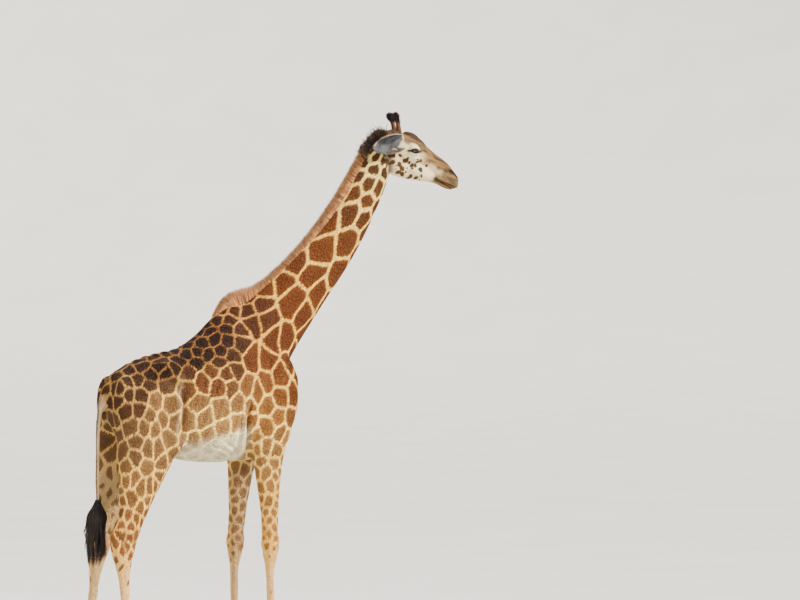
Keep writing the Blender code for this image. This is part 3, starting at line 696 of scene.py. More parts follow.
def model_body(co, normals):
    """Folds, tendons, ribs and bones, pushed along the surface."""
    rest = plain_stance(co)
    rest[:, 1] = np.abs(rest[:, 1])
    push = np.zeros(len(co))
    for line, width, depth in BODY_FOLDS:
        push += fold(rest, line, width, depth)
    for centre, size, height in BODY_SWELLS:
        push += height * bell(np.linalg.norm(rest - centre, axis=1), size)
    # Ribs run down and back over the barrel.
    barrel = rise(1.55, 1.70, co[:, 2]) * fall(2.05, 2.22, co[:, 2])
    barrel *= rise(-0.28, -0.16, co[:, 0]) * fall(0.16, 0.24, co[:, 0])
    lean = co[:, 0] - 0.28 * (co[:, 2] - 1.9)
    for k in range(RIBS["count"]):
        middle = RIBS["first"] + RIBS["step"] * k
        push += barrel * RIBS["height"] * bell(lean - middle, RIBS["width"])
    top = rise(0.80, 0.95, normals[:, 2]) * (np.abs(co[:, 1]) < 0.06) * (co[:, 0] < 0.35)
    push += top * SPINE_BUMPS["height"] * np.sin(co[:, 0] * 2 * np.pi / SPINE_BUMPS["step"])
    return co + normals * push[:, None]


def taper_feet(co):
    """Draws the hide in under each coronet, so that it ends inside the hooves."""
    for kind, side in STANCE:
        foot = LEGS[kind][-2]
        middle = np.array([foot[0] + STANCE[kind, side][1], side * foot[1]])
        mine = (np.hypot(co[:, 0] - middle[0], co[:, 1] - middle[1]) < 0.14) & (co[:, 2] < 0.2)
        plane = CORONET_HEIGHT + CORONET_SLOPE * (co[:, 0] - middle[0])
        under = rise(-0.002, 0.014, plane - co[:, 2]) * mine
        drawn_in = middle + (co[:, :2] - middle) * (1 - FOOT_TAPER * under)[:, None]
        flat = np.where(mine[:, None], drawn_in, co[:, :2])
        co = np.column_stack([flat, co[:, 2]])
    co[:, 2] = np.maximum(co[:, 2], GROUND_CLEARANCE)
    return co


def ear_leaf(side, lengths, widths):
    """Points of one ear's middle sheet in the head's frame: a leaf cupped about its length."""
    along = EAR_DIRECTION
    faces = (EAR_FACES - along * EAR_FACES.dot(along)).normalized()
    across = along.cross(faces)
    rows = []
    for i in range(lengths + 1):
        t = i / lengths
        half = EAR_HALF_WIDTH * (math.sin(math.pi * min(1.0, 0.16 + 0.84 * t)) ** 0.55 * 0.97 + 0.03)
        roll = math.radians(EAR_ROLL_AT_ROOT - EAR_UNROLLING * t)
        row = []
        for j in range(widths + 1):
            turn = roll * (2 * j / widths - 1)
            cup = half / math.sin(min(roll, math.pi / 2))
            place = (
                EAR_ROOT
                + along * (EAR_LENGTH * t)
                + across * (cup * math.sin(turn))
                - faces * (cup * math.cos(turn) - cup * 0.6)
            )
            row.append(Vector((place.x, side * place.y, place.z)))
        rows.append(row)
    return rows


# Modelled forms of the face, in the head's frame and seen from its side: line of x and z, width, depth.
FACE_FOLDS = [
    ([(0.175, -0.010), (0.260, 0.000), (0.350, 0.012), (0.430, 0.010)], 0.010, -0.0035),  # facial crest
    ([(0.240, -0.028), (0.330, -0.024), (0.420, -0.030)], 0.012, 0.0022),  # hollow under the crest
    ([(0.085, 0.010), (0.082, -0.060), (0.098, -0.130)], 0.016, 0.0060),  # behind the jaw
    ([(0.240, -0.140), (0.262, -0.090), (0.250, -0.045)], 0.013, 0.0040),  # front of the jaw muscle
    ([(0.275, 0.040), (0.330, 0.015), (0.390, -0.020), (0.430, -0.040)], 0.0035, -0.0016),  # vein
    ([(0.330, 0.015), (0.370, 0.035), (0.420, 0.045)], 0.0030, -0.0012),
    ([(0.255, 0.118), (0.330, 0.096), (0.420, 0.080), (0.520, 0.066)], 0.012, -0.0018),  # nasal edge
    ([(0.285, 0.088), (0.350, 0.066), (0.440, 0.050)], 0.014, 0.0024),  # beside the nose
    ([(0.470, 0.000), (0.520, -0.008), (0.575, -0.022)], 0.010, 0.0016),  # muzzle fold
    ([(0.455, -0.075), (0.500, -0.088), (0.560, -0.088)], 0.006, 0.0016),  # chin fold
    ([(0.150, 0.098), (0.185, 0.104), (0.230, 0.100), (0.268, 0.082)], 0.006, -0.0020),  # brow edge
]
EYE_TILT = math.radians(22)
EYE_HALF_LENGTH = 0.027
UPPER_LID = 0.0095
LOWER_LID = 0.0080
LID_THICKNESS = 0.0030
NOSTRIL_LINE = [(0.612, 0.020), (0.598, 0.034), (0.574, 0.043), (0.545, 0.044)]
MOUTH_CORNER_X = 0.462


def refine(mesh):
    """Splits the faces round the eyes, nostrils and mouth, where the forms are finest."""
    bm = bmesh.new()
    bm.from_mesh(mesh)

    def split(near, cuts):
        edges = {e for f in bm.faces if near(*f.calc_center_median()) for e in f.edges}
        bmesh.ops.subdivide_edges(bm, edges=list(edges), cuts=cuts, use_grid_fill=True)

    into = HEAD_TO_BODY.inverted()

    def head_point(x, y, z):
        p = into @ Vector((x, y, z))
        return p.x, abs(p.y), p.z

    def at_eye(x, y, z):
        if z < 3.5:
            return False
        hx, hy, hz = head_point(x, y, z)
        return hy > 0.05 and math.hypot(hx - EYE_AT.x, hz - EYE_AT.z) < 0.042

    def at_mouth(x, y, z):
        if z < HEAD_ABOVE:
            return False
        hx, hy, hz = head_point(x, y, z)
        nostril = hy > 0.015 and math.hypot(hx - 0.580, hz - 0.034) < 0.046
        return nostril or (hx > MOUTH_CORNER_X - 0.02 and abs(hz - mouth_height(hx)) < 0.016)

    split(at_eye, 2)
    split(at_mouth, 1)
    bmesh.ops.triangulate(bm, faces=[face for face in bm.faces if len(face.verts) > 4])
    bm.to_mesh(mesh)
    bm.free()


def mouth_height(x):
    return MOUTH_FRONT.z - math.tan(MOUTH_SLOPE) * (MOUTH_FRONT.x - x)


def eye_plane(high):
    """Head points seen along the eye's axis: along the slit, across it, and their side of the head."""
    side = np.where(high[:, 1] < 0, -1.0, 1.0)
    a = high[:, 0] - EYE_AT.x
    b = high[:, 2] - EYE_AT.z
    along = a * math.cos(EYE_TILT) + b * math.sin(EYE_TILT)
    across = -a * math.sin(EYE_TILT) + b * math.cos(EYE_TILT)
    return along, across, side


def lid_gap(along, across):
    """How far a point lies outside the slit between the lids; negative inside it."""
    arch = np.clip(1 - (np.abs(along) / EYE_HALF_LENGTH) ** 2.2, -3, 1)
    over = across - UPPER_LID * arch
    below = -across - LOWER_LID * arch
    return np.maximum(over, below)


def model_eyes(high, _normals):
    """Shapes the lids over the eyeball and hollows the slit between them."""
    along, across, side = eye_plane(high)
    middle = np.stack([np.full(len(high), EYE_AT.x), side * EYE_AT.y, np.full(len(high), EYE_AT.z)], 1)
    out = high - middle
    reach = np.linalg.norm(out, axis=1)
    near = (np.hypot(along, across) < 0.05) & (out[:, 1] * side > -0.006)
    gap = lid_gap(along, across)
    slit = fall(-0.0012, 0.0006, gap)
    lid = fall(0.002, 0.018, gap)
    lid_reach = EYE_RADIUS + LID_THICKNESS + 0.0012 * bell(gap - 0.003, 0.002)
    target = reach + (lid_reach - reach) * lid
    crease = 0.0026 * bell(gap - 0.0105, 0.0024) * np.where(across > 0, 1.0, 0.6)
    second = 0.0014 * bell(gap - 0.0165, 0.0024)
    target -= (crease + second) * (np.abs(along) < 0.04)
    target += (EYE_RADIUS - 0.006 - target) * slit
    scaled = middle + out * (target / np.maximum(reach, 1e-6))[:, None]
    return np.where(near[:, None], scaled, high)


def model_face(high, normals):
    """Crest, jaw, veins, nostrils and mouth, pushed along the surface in the head's frame."""
    flat = high[:, [0, 2]]
    sideways = rise(0.25, 0.7, np.abs(normals[:, 1]))
    push = np.zeros(len(high))
    for line, width, depth in FACE_FOLDS:
        push += fold(flat, line, width, depth) * sideways
    gap, place = line_distance(flat, NOSTRIL_LINE)
    mine = (np.abs(high[:, 1]) > 0.018) & (high[:, 0] > 0.50)
    slim = 0.0045 * (0.55 + np.sin(np.pi * np.clip(place, 0.02, 0.98)) * 0.6)
    push -= mine * 0.0125 * np.exp(-((gap / slim) ** 4))
    push += mine * 0.0028 * bell(gap - 0.0085, 0.0042)
    mouth = high[:, 2] - mouth_height(high[:, 0])
    front = rise(MOUTH_CORNER_X - 0.006, MOUTH_CORNER_X + 0.012, high[:, 0])
    push -= front * 0.0050 * bell(mouth, 0.0026)
    push += front * 0.0022 * bell(mouth - 0.0105, 0.0055)
    push += front * 0.0016 * bell(mouth + 0.0095, 0.0050)
    corner = np.hypot(high[:, 0] - MOUTH_CORNER_X, mouth)
    push -= 0.004 * bell(corner, 0.008) * sideways
    return high + normals * push[:, None]


def make_ear(side):
    """One ear as a thin closed leaf, cupped along its length."""
    lengths, widths = 44, 26
    bm = bmesh.new()
    rows = [[bm.verts.new(p) for p in row] for row in ear_leaf(side, lengths, widths)]
    for near, far in zip(rows, rows[1:]):
        for j in range(widths):
            bm.faces.new((near[j], near[j + 1], far[j + 1], far[j]))
    bm.transform(HEAD_TO_BODY)
    ear = object_from(bm, "ear_leaf")
    shell = ear.modifiers.new("shell", "SOLIDIFY")
    shell.thickness = EAR_THICKNESS
    shell.offset = 0.0
    apply_modifiers(ear)
    co = corners(ear.data)
    set_corners(ear.data, evened(co, edges_of(ear.data), np.full(len(co), 0.5), 3))
    return ear


def unite(obj, other):
    """Joins another closed object to this one, and removes it."""
    union = obj.modifiers.new("union", "BOOLEAN")
    union.operation = "UNION"
    union.object = other
    apply_modifiers(obj)
    bpy.data.objects.remove(other, do_unlink=True)
    return obj


def joint_weight(co):
    """How much each point is evened: only where the head meets the neck and the ears meet the head."""
    seam = np.abs((co - np.array(JOIN_AT)) @ np.array(JOIN_WAY))
    roots = np.array([(EAR_ROOT.x, side * EAR_ROOT.y, EAR_ROOT.z) for side in (-1, 1)])
    root = np.min(np.linalg.norm(to_head(co)[:, None] - roots[None], axis=2), axis=1)
    at_seam = 0.5 * fall(0.03, 0.06, seam)
    return np.maximum(at_seam, 0.35 * fall(0.045, 0.07, root))


def coat_depth(co):
    """How deep the coat lies over each point: thinner on the head and the legs, and none at the eyes."""
    high = to_head(co)
    on_head = rise(-0.10, 0.02, high[:, 0]) * rise(3.2, 3.5, co[:, 2])
    on_leg = fall(0.8, 1.2, co[:, 2])
    depth = COAT_DEPTH + (SHORT_COAT_DEPTH - COAT_DEPTH) * np.maximum(on_head, on_leg)
    near_eye = np.hypot(*eye_plane(high)[:2]) < 0.045
    return np.where(on_head.astype(bool) & near_eye, 0.0, depth)


def make_hide():
    """The whole hide: fused, evened where its forms meet, modelled, and set in by the coat's depth."""
    head = head_form()
    for side in (-1, 1):
        unite(head, make_ear(side))
    hide = join_forms(body_form(), head)
    mesh = hide.data
    refine(mesh)
    co = corners(mesh)
    co = evened(co, edges_of(mesh), joint_weight(co), SEAM_EVENING)
    set_corners(mesh, co)
    co = model_body(co, normals_of(mesh))
    set_corners(mesh, co)
    co = taper_feet(co)
    set_corners(mesh, co)
    for model in (model_face, model_eyes):
        high = to_head(co)
        on_face = (high[:, 0] > 0.02) & (co[:, 2] > HEAD_ABOVE)
        shaped = model(high, normals_of(mesh) @ np.array(HEAD_TO_BODY.to_3x3()))
        co = np.where(on_face[:, None], moved(shaped, HEAD_TO_BODY), co)
        set_corners(mesh, co)
    set_corners(mesh, co - normals_of(mesh) * coat_depth(co)[:, None])
    return hide


# The coat's patches. At each place on the side of the body: x, z, breadth of a patch, how much longer it
# is than broad, half width of the pale line between patches, colour of patch, colour of line. Over the back,
# croup and rump the colours are darker partly as painted shade, and at the back of the thigh they are darker
# and duller as painted shade.
COAT_PLACES = [
    ((0.25, 2.56), 0.100, 1.1, 0.0055, (70, 35, 12), (198, 140, 66)),  # withers
    # Back, croup and rump: darker partly as painted shade.
    ((0.05, 2.38), 0.084, 1.0, 0.0045, (37, 16, 7), (143, 92, 43)),  # behind the withers
    ((-0.10, 2.24), 0.080, 1.0, 0.0045, (32, 13, 6), (130, 85, 37)),  # back
    ((-0.45, 2.14), 0.086, 1.0, 0.0045, (41, 19, 8), (146, 100, 47)),  # croup
    ((-0.66, 1.92), 0.086, 1.1, 0.0050, (68, 40, 18), (186, 140, 75)),  # rump
    # Back of the thigh: darker and duller as painted shade.
    ((-0.68, 1.66), 0.090, 1.3, 0.0050, (98, 68, 36), (204, 160, 92)),  # back of the thigh
    ((-0.05, 2.04), 0.108, 1.1, 0.0050, (100, 56, 24), (236, 184, 88)),  # side
    ((0.00, 1.78), 0.128, 1.2, 0.0060, (152, 110, 60), (255, 220, 114)),  # lower side
    ((-0.42, 1.86), 0.108, 1.3, 0.0055, (124, 88, 48), (248, 196, 100)),  # thigh
    ((-0.50, 1.58), 0.088, 1.3, 0.0055, (130, 94, 52), (252, 200, 98)),  # lower thigh
    ((-0.60, 1.30), 0.062, 1.3, 0.0050, (128, 88, 46), (250, 196, 94)),  # shank
    ((-0.70, 1.02), 0.052, 1.4, 0.0055, (120, 76, 38), (246, 190, 88)),  # hock
    ((0.45, 2.22), 0.130, 1.4, 0.0065, (92, 46, 11), (236, 174, 78)),  # shoulder
    ((0.64, 2.00), 0.124, 1.4, 0.0065, (105, 57, 16), (242, 190, 90)),  # chest
    ((0.40, 1.80), 0.100, 1.3, 0.0065, (132, 84, 34), (252, 205, 102)),  # upper arm
    ((0.45, 1.52), 0.076, 1.1, 0.0060, (145, 102, 52), (255, 212, 106)),  # forearm
    ((0.45, 1.20), 0.060, 1.2, 0.0065, (152, 106, 52), (255, 198, 88)),  # lower forearm
    ((0.45, 0.92), 0.048, 1.3, 0.0070, (158, 108, 52), (250, 190, 86)),  # knee
    ((0.70, 2.62), 0.146, 1.4, 0.0075, (100, 50, 12), (238, 186, 86)),  # base of the neck
    ((1.00, 2.95), 0.138, 1.5, 0.0085, (100, 52, 14), (244, 196, 96)),  # neck
    ((1.25, 3.30), 0.100, 1.5, 0.0090, (90, 50, 16), (246, 204, 112)),  # upper neck
    ((1.42, 3.58), 0.074, 1.4, 0.0100, (74, 46, 18), (250, 218, 134)),  # throat end
    ((1.62, 3.68), 0.050, 1.1, 0.0095, (84, 55, 28), (242, 214, 138)),  # head
]
JAW_HOLLOW = [(0.070, -0.050), (0.094, -0.110), (0.134, -0.172)]
EAR_FRONT = [(0.096, 0.112), (0.112, 0.080), (0.114, 0.030), (0.104, -0.012)]
POLL_LINE = [(1.428, 3.806), (1.385, 3.775), (1.340, 3.725), (1.300, 3.665)]
BELLY_WHITE = (240, 228, 186)
SHANK_TAN = (216, 174, 120)
# Patches: how close their middles may come, how far a turn of the surface counts as distance, and how
# many are compared at each point. Both distances are in patch breadths.
PATCH_SPACING = 0.84
NORMAL_REACH = 0.45
NEIGHBOURS = 6
CANDIDATES = 16000
AT_ONCE = 3000
CORNER_ROUNDING = 0.0030
BORDER_SHARE = 0.5
NO_PATCH = -0.02  # a depth that lies outside every patch
EAR_SHEET = (24, 12)
CHEEK_SPOTS = 210
SEED = 20


def tone(colour):
    """A colour given as eight-bit display values, as linear light."""
    c = np.array(colour, float) / 255
    return np.where(c <= 0.04045, c / 12.92, ((c + 0.055) / 1.055) ** 2.4)


def coat_at(rest):
    """Patch breadth, stretch, half line and the two colours, blended between the coat's places."""
    spots = np.array([place[0] for place in COAT_PLACES])
    gap = np.linalg.norm(rest[:, None, [0, 2]] - spots[None], axis=2)
    weight = 1 / (gap + 0.02) ** 5
    weight /= weight.sum(1)[:, None]
    rows = [(size, stretch, half, *tone(a), *tone(b)) for _, size, stretch, half, a, b in COAT_PLACES]
    mixed = weight @ np.array(rows)
    return mixed[:, 0], mixed[:, 1], mixed[:, 2], mixed[:, 3:6], mixed[:, 6:9]


def lie_of(rest):
    """The way along which patches are longest: along the neck, and down the trunk and legs."""
    neck_way = np.array([0.62, 0.0, 0.78])
    down = np.array([0.12, 0.0, 1.0])
    on_neck = rise(2.35, 2.75, rest[:, 2] + 0.4 * (rest[:, 0] - 0.7))
    way = down + on_neck[:, None] * (neck_way - down)
    return way / np.linalg.norm(way, axis=1)[:, None]


def wavered(points):
    """Points moved by smooth noise, so that straight borders waver."""
    noise.seed_set(SEED)
    out = np.empty_like(points)
    for k, p in enumerate(points):
        v = Vector(p)
        out[k] = v + noise.noise_vector(v * 6.0) * 0.015 + noise.noise_vector(v * 24.0) * 0.0062
    return out


def steps_between(gap, way, size, stretch):
    """Squared distances in patches, where gap holds vectors and the way is each patch's long side."""
    along = np.einsum("...k,...k->...", gap, way)
    square = np.einsum("...k,...k->...", gap, gap)
    return (square - along**2 * (1 - 1 / stretch**2)) / size**2


def turn_between(some, others):
    """What the turn between surface normals adds to a squared distance in patches."""
    return NORMAL_REACH**2 * np.sum((some - others) ** 2, axis=-1)


def patch_seeds(rest, normals, size, stretch, way):
    """Evenly scattered middles for the patches, as indices of hide points."""
    random = np.random.default_rng(SEED)
    order = random.choice(len(rest), CANDIDATES, replace=False)
    kept = []
    for i in order:
        if kept:
            gap = rest[kept] - rest[i]
            near = steps_between(gap, way[i], size[i], stretch[i])
            near += turn_between(normals[kept], normals[i])
            if near.min() < PATCH_SPACING**2:
                continue
        kept.append(i)
    return np.array(kept)


def patch_edges(points, normals, size, stretch, way, seeds, seed_normals):
    """How far each point lies inside its patch, in metres, and which patch it is."""
    edge = np.empty(len(points))
    mine = np.empty(len(points), int)
    for start in range(0, len(points), AT_ONCE):
        cut = slice(start, start + AT_ONCE)
        gap = seeds[None] - points[cut, None]
        square = steps_between(gap, way[cut, None], size[cut, None], stretch[cut, None])
        square += turn_between(seed_normals[None], normals[cut, None])
        near = np.argpartition(square, NEIGHBOURS, axis=1)[:, :NEIGHBOURS]
        near = np.take_along_axis(near, np.argsort(np.take_along_axis(square, near, 1), axis=1), 1)
        best = np.take_along_axis(square, near, 1)
        own, others = near[:, :1], near[:, 1:]
        between = seeds[others] - seeds[own]
        apart = steps_between(between, way[cut, None], size[cut, None], stretch[cut, None])
        apart += turn_between(seed_normals[others], seed_normals[own])
        inside = (best[:, 1:] - best[:, :1]) / (2 * np.sqrt(np.maximum(apart, 1e-6))) * size[cut, None]
        edge[cut] = -CORNER_ROUNDING * np.log(np.exp(-inside / CORNER_ROUNDING).sum(1))
        mine[cut] = near[:, 0]
    return edge, mine


def mix(start, end, share):
    """Between two colours by a share for each point. A tuple holds eight-bit display values."""
    start, end = (tone(colour) if isinstance(colour, tuple) else colour for colour in (start, end))
    return start + (end - start) * share[:, None]


def missed_depth(mesh, edge, mine):
    """How far a border's own depth is missed by two joined points that it runs between."""
    pairs = edges_of(mesh)
    pairs = pairs[mine[pairs[:, 0]] != mine[pairs[:, 1]]]
    first, second = np.maximum(edge[pairs], 1e-5).T
    missed = np.zeros(len(edge))
    for ends in pairs.T:
        np.maximum.at(missed, ends, 2 * first * second / (first + second))
    return missed


def belly_share(co, rest, normals, inward, drift):
    """1 on the white underside, from behind the forelegs to the thighs."""
    outer_arm = rise(0.25, 0.31, rest[:, 0]) * fall(0.2, 0.6, inward)
    trunk = 1 - leg_mask(rest)
    line_of_white = 1.625 + 0.10 * np.clip(rest[:, 0], -0.2, 0.26) / 0.26 + 0.045 * drift
    belly = fall(-0.045, 0.045, co[:, 2] - line_of_white) * trunk * (1 - outer_arm)
    under = rise(0.35, 0.85, -normals[:, 2]) * trunk * (co[:, 2] < 1.72)
    thinned = 1 - 0.7 * rise(0.30, 0.42, rest[:, 0])
    return np.maximum(belly, under) * rise(-0.52, -0.42, rest[:, 0]) * thinned


def crease_share(rest, line, strength, width, ends, gain):
    """How strongly a crease colours each point, fading towards the crease's ends."""
    gap, place = side_distance(rest, line)
    along = np.sin(np.pi * np.clip(place, ends, 1 - ends))
    return strength * bell(gap, width) * np.clip(along * gain, 0, 1)


def paint_hide(hide):
    """Stores on each point of the hide its depth inside a patch and the two colours it lies between."""
    mesh = hide.data
    co, normals = corners(mesh), normals_of(mesh)
    rest = plain_stance(co)
    size, stretch, half, patch, line = coat_at(rest)
    way = lie_of(rest)
    picked = patch_seeds(rest, normals, size, stretch, way)
    edge, mine = patch_edges(
        wavered(rest), normals, size, stretch, way, rest[picked], normals[picked]
    )
    random = np.random.default_rng(SEED + 1)
    shade = random.uniform(0.80, 1.16, len(picked))[mine][:, None]
    dropped = random.uniform(0, 1, len(picked))[mine]
    edge = edge - half - BORDER_SHARE * missed_depth(mesh, edge, mine)
    high = to_head(co)
    head = head_share(co, high)
    leg = fall(1.35, 1.60, co[:, 2]) * (1 - head)
    # Patches thin out down the cannons, up the front of the neck and inside the legs.
    low = fall(0.60, 0.96, co[:, 2])
    edge -= 0.026 * low * (0.30 + dropped)
    inward = -normals[:, 1] * np.sign(co[:, 1])
    inner = leg * rise(0.25, 0.75, inward)
    fore = (rest[:, 0] > LEG_FRONT_X).astype(float)
    front = rise(0.55, 0.9, normals[:, 0] - 0.4 * normals[:, 2]) * rise(2.2, 2.6, co[:, 2])
    edge -= 0.008 * front * rise(0.3, 0.9, dropped)
    edge -= 0.012 * inner * (1 - fore * fall(1.4, 1.6, co[:, 2]))
    # A patch is nearly one colour throughout, taken from its middle.
    patch = (0.7 * patch[picked][mine] + 0.3 * patch) * shade
    drift = noise_at(rest, 5.0) + 0.5 * noise_at(rest, 14.0)
    under = belly_share(co, rest, normals, inward, drift)
    patch = mix(patch, tone(BELLY_WHITE) * 0.86, np.clip(under * 1.05, 0, 1) * 0.93)
    line = mix(line, BELLY_WHITE, np.clip(under, 0, 1))
    # The inner sides of the legs are painted darker and greyer, as painted shade.
    line = mix(line, (150, 130, 104), 0.72 * inner)
    patch = mix(patch, (100, 76, 52), 0.72 * inner)
    line = mix(line, SHANK_TAN, low * (1 - inner) * 0.7)
    # Hollow of the flank and of the elbow: a painted highlight along their lips, and painted shade in the
    # crease.
    mirrored = np.stack([rest[:, 0], np.abs(rest[:, 1]), rest[:, 2]], 1)
    for crease, lip in ((FLANK_CREASE, FLANK_LIP), (ELBOW_CREASE, ELBOW_LIP)):
        pale = crease_share(mirrored, lip, 0.34, 0.014, 0.05, 1.6)
        line = mix(line, (244, 222, 178), pale)
        patch = mix(patch, (236, 206, 156), pale * 0.8)
        dark = crease_share(mirrored, crease, 0.66, 0.010, 0, 2.0)
        line = mix(line, (92, 62, 42), dark)
        patch = mix(patch, (84, 54, 36), dark)
    # Brown streaks over the hocks and the fronts of the knees.
    streak = noise_at(rest * (20, 20, 6.5))
    hocks = fall(0.98, 1.08, co[:, 2]) * rise(0.72, 0.82, co[:, 2])
    line = mix(line, (150, 92, 52), hocks * rise(0.05, 0.30, streak) * (0.75 - 0.35 * fore))
    edge, patch, line = paint_head(high, normals @ np.array(HEAD_TO_BODY.to_3x3()), head, edge, patch, line)
    tail = rise(0.745, 0.775, -co[:, 0]) * (np.abs(co[:, 1]) < 0.07) * rise(0.9, 1.0, co[:, 2])
    tail *= fall(1.80, 1.98, co[:, 2] + 0.10 * drift)
    line = mix(line, (232, 198, 148), tail)
    line = mix(line, (78, 52, 36), tail * rise(0.38, 0.72, -normals[:, 0] + 0.35 * streak))
    edge = edge - 0.06 * tail
    # Painted shadow in the hollow between the jaw and the neck, where the head shades the neck.
    jaw_gap, _ = line_distance(high[:, [0, 2]], JAW_HOLLOW)
    painted_jaw_shadow = bell(jaw_gap, 0.026) * rise(0.008, 0.025, np.abs(high[:, 1])) * 0.85
    line = mix(line, (92, 74, 56), painted_jaw_shadow)
    patch = mix(patch, (70, 52, 36), painted_jaw_shadow)
    poll = poll_share(co)
    store(mesh, "edge", np.where(poll > 0.5, NO_PATCH, edge))
    store(mesh, "patch", patch)
    store(mesh, "ground", mix(line, (60, 40, 26), poll))


def poll_share(co):
    """1 where the dark hair of the poll grows, 0 elsewhere."""
    gap, _ = line_distance(co[:, [0, 2]], POLL_LINE)
    return fall(0.040, 0.078, gap) * (np.abs(co[:, 1]) < 0.085)


def spot(high, x, z, rx, rz, soft=0.45):
    """1 within an oval on the side of the head, fading to 0 outside it."""
    gap = np.sqrt(((high[:, 0] - x) / rx) ** 2 + ((high[:, 2] - z) / rz) ** 2)
    return fall(1 - soft, 1 + soft, gap)


def cheek_spots(high, waver):
    """Depth inside the cheeks' small spots, which crowd behind the eye and thin out to the muzzle."""
    random = np.random.default_rng(SEED + 2)
    x, z = high[:, 0], high[:, 2]
    spots = np.full(len(x), NO_PATCH)
    for _ in range(CHEEK_SPOTS):
        sx, sz = random.uniform(0.02, 0.37), random.uniform(-0.155, 0.035)
        small = random.uniform(0.0070, 0.0205) * (1.25 - 1.5 * max(0.0, sx - 0.10))
        turn = random.uniform(0, math.pi)
        side = random.choice((-1, 1))
        if sz > -0.030 + 0.35 * max(0.0, sx - 0.14):
            continue
        if math.hypot(sx - EYE_AT.x, sz - EYE_AT.z) < 0.058 or random.random() < (sx - 0.12) * 3.0:
            continue
        along = (x - sx) * math.cos(turn) + (z - sz) * math.sin(turn)
        across = -(x - sx) * math.sin(turn) + (z - sz) * math.cos(turn)
        reach = np.hypot(along, across * random.uniform(1.1, 1.7)) + 0.004 * waver
        spots = np.where(high[:, 1] * side > 0, np.maximum(spots, small - reach), spots)
    return spots


def ear_colour(waver, inside, place):
    """Tan outside, painted grey-blue shade in the hollow over its pale hair, pale at the root and dark at
    the tip.
    """
    outer = mix((196, 168, 134), (120, 88, 62), rise(0.1, 0.5, waver))
    # The hollow's grey is painted shade.
    hollow = mix((92, 95, 96), (62, 64, 70), rise(-0.3, 0.5, waver))
    ear = outer * (1 - inside[:, None]) + hollow * inside[:, None]
    ear = mix(ear, (236, 216, 186), fall(0.02, 0.12, place) * 0.4 * (1 - inside))
    return mix(ear, (48, 36, 30), rise(0.86, 0.97, place))


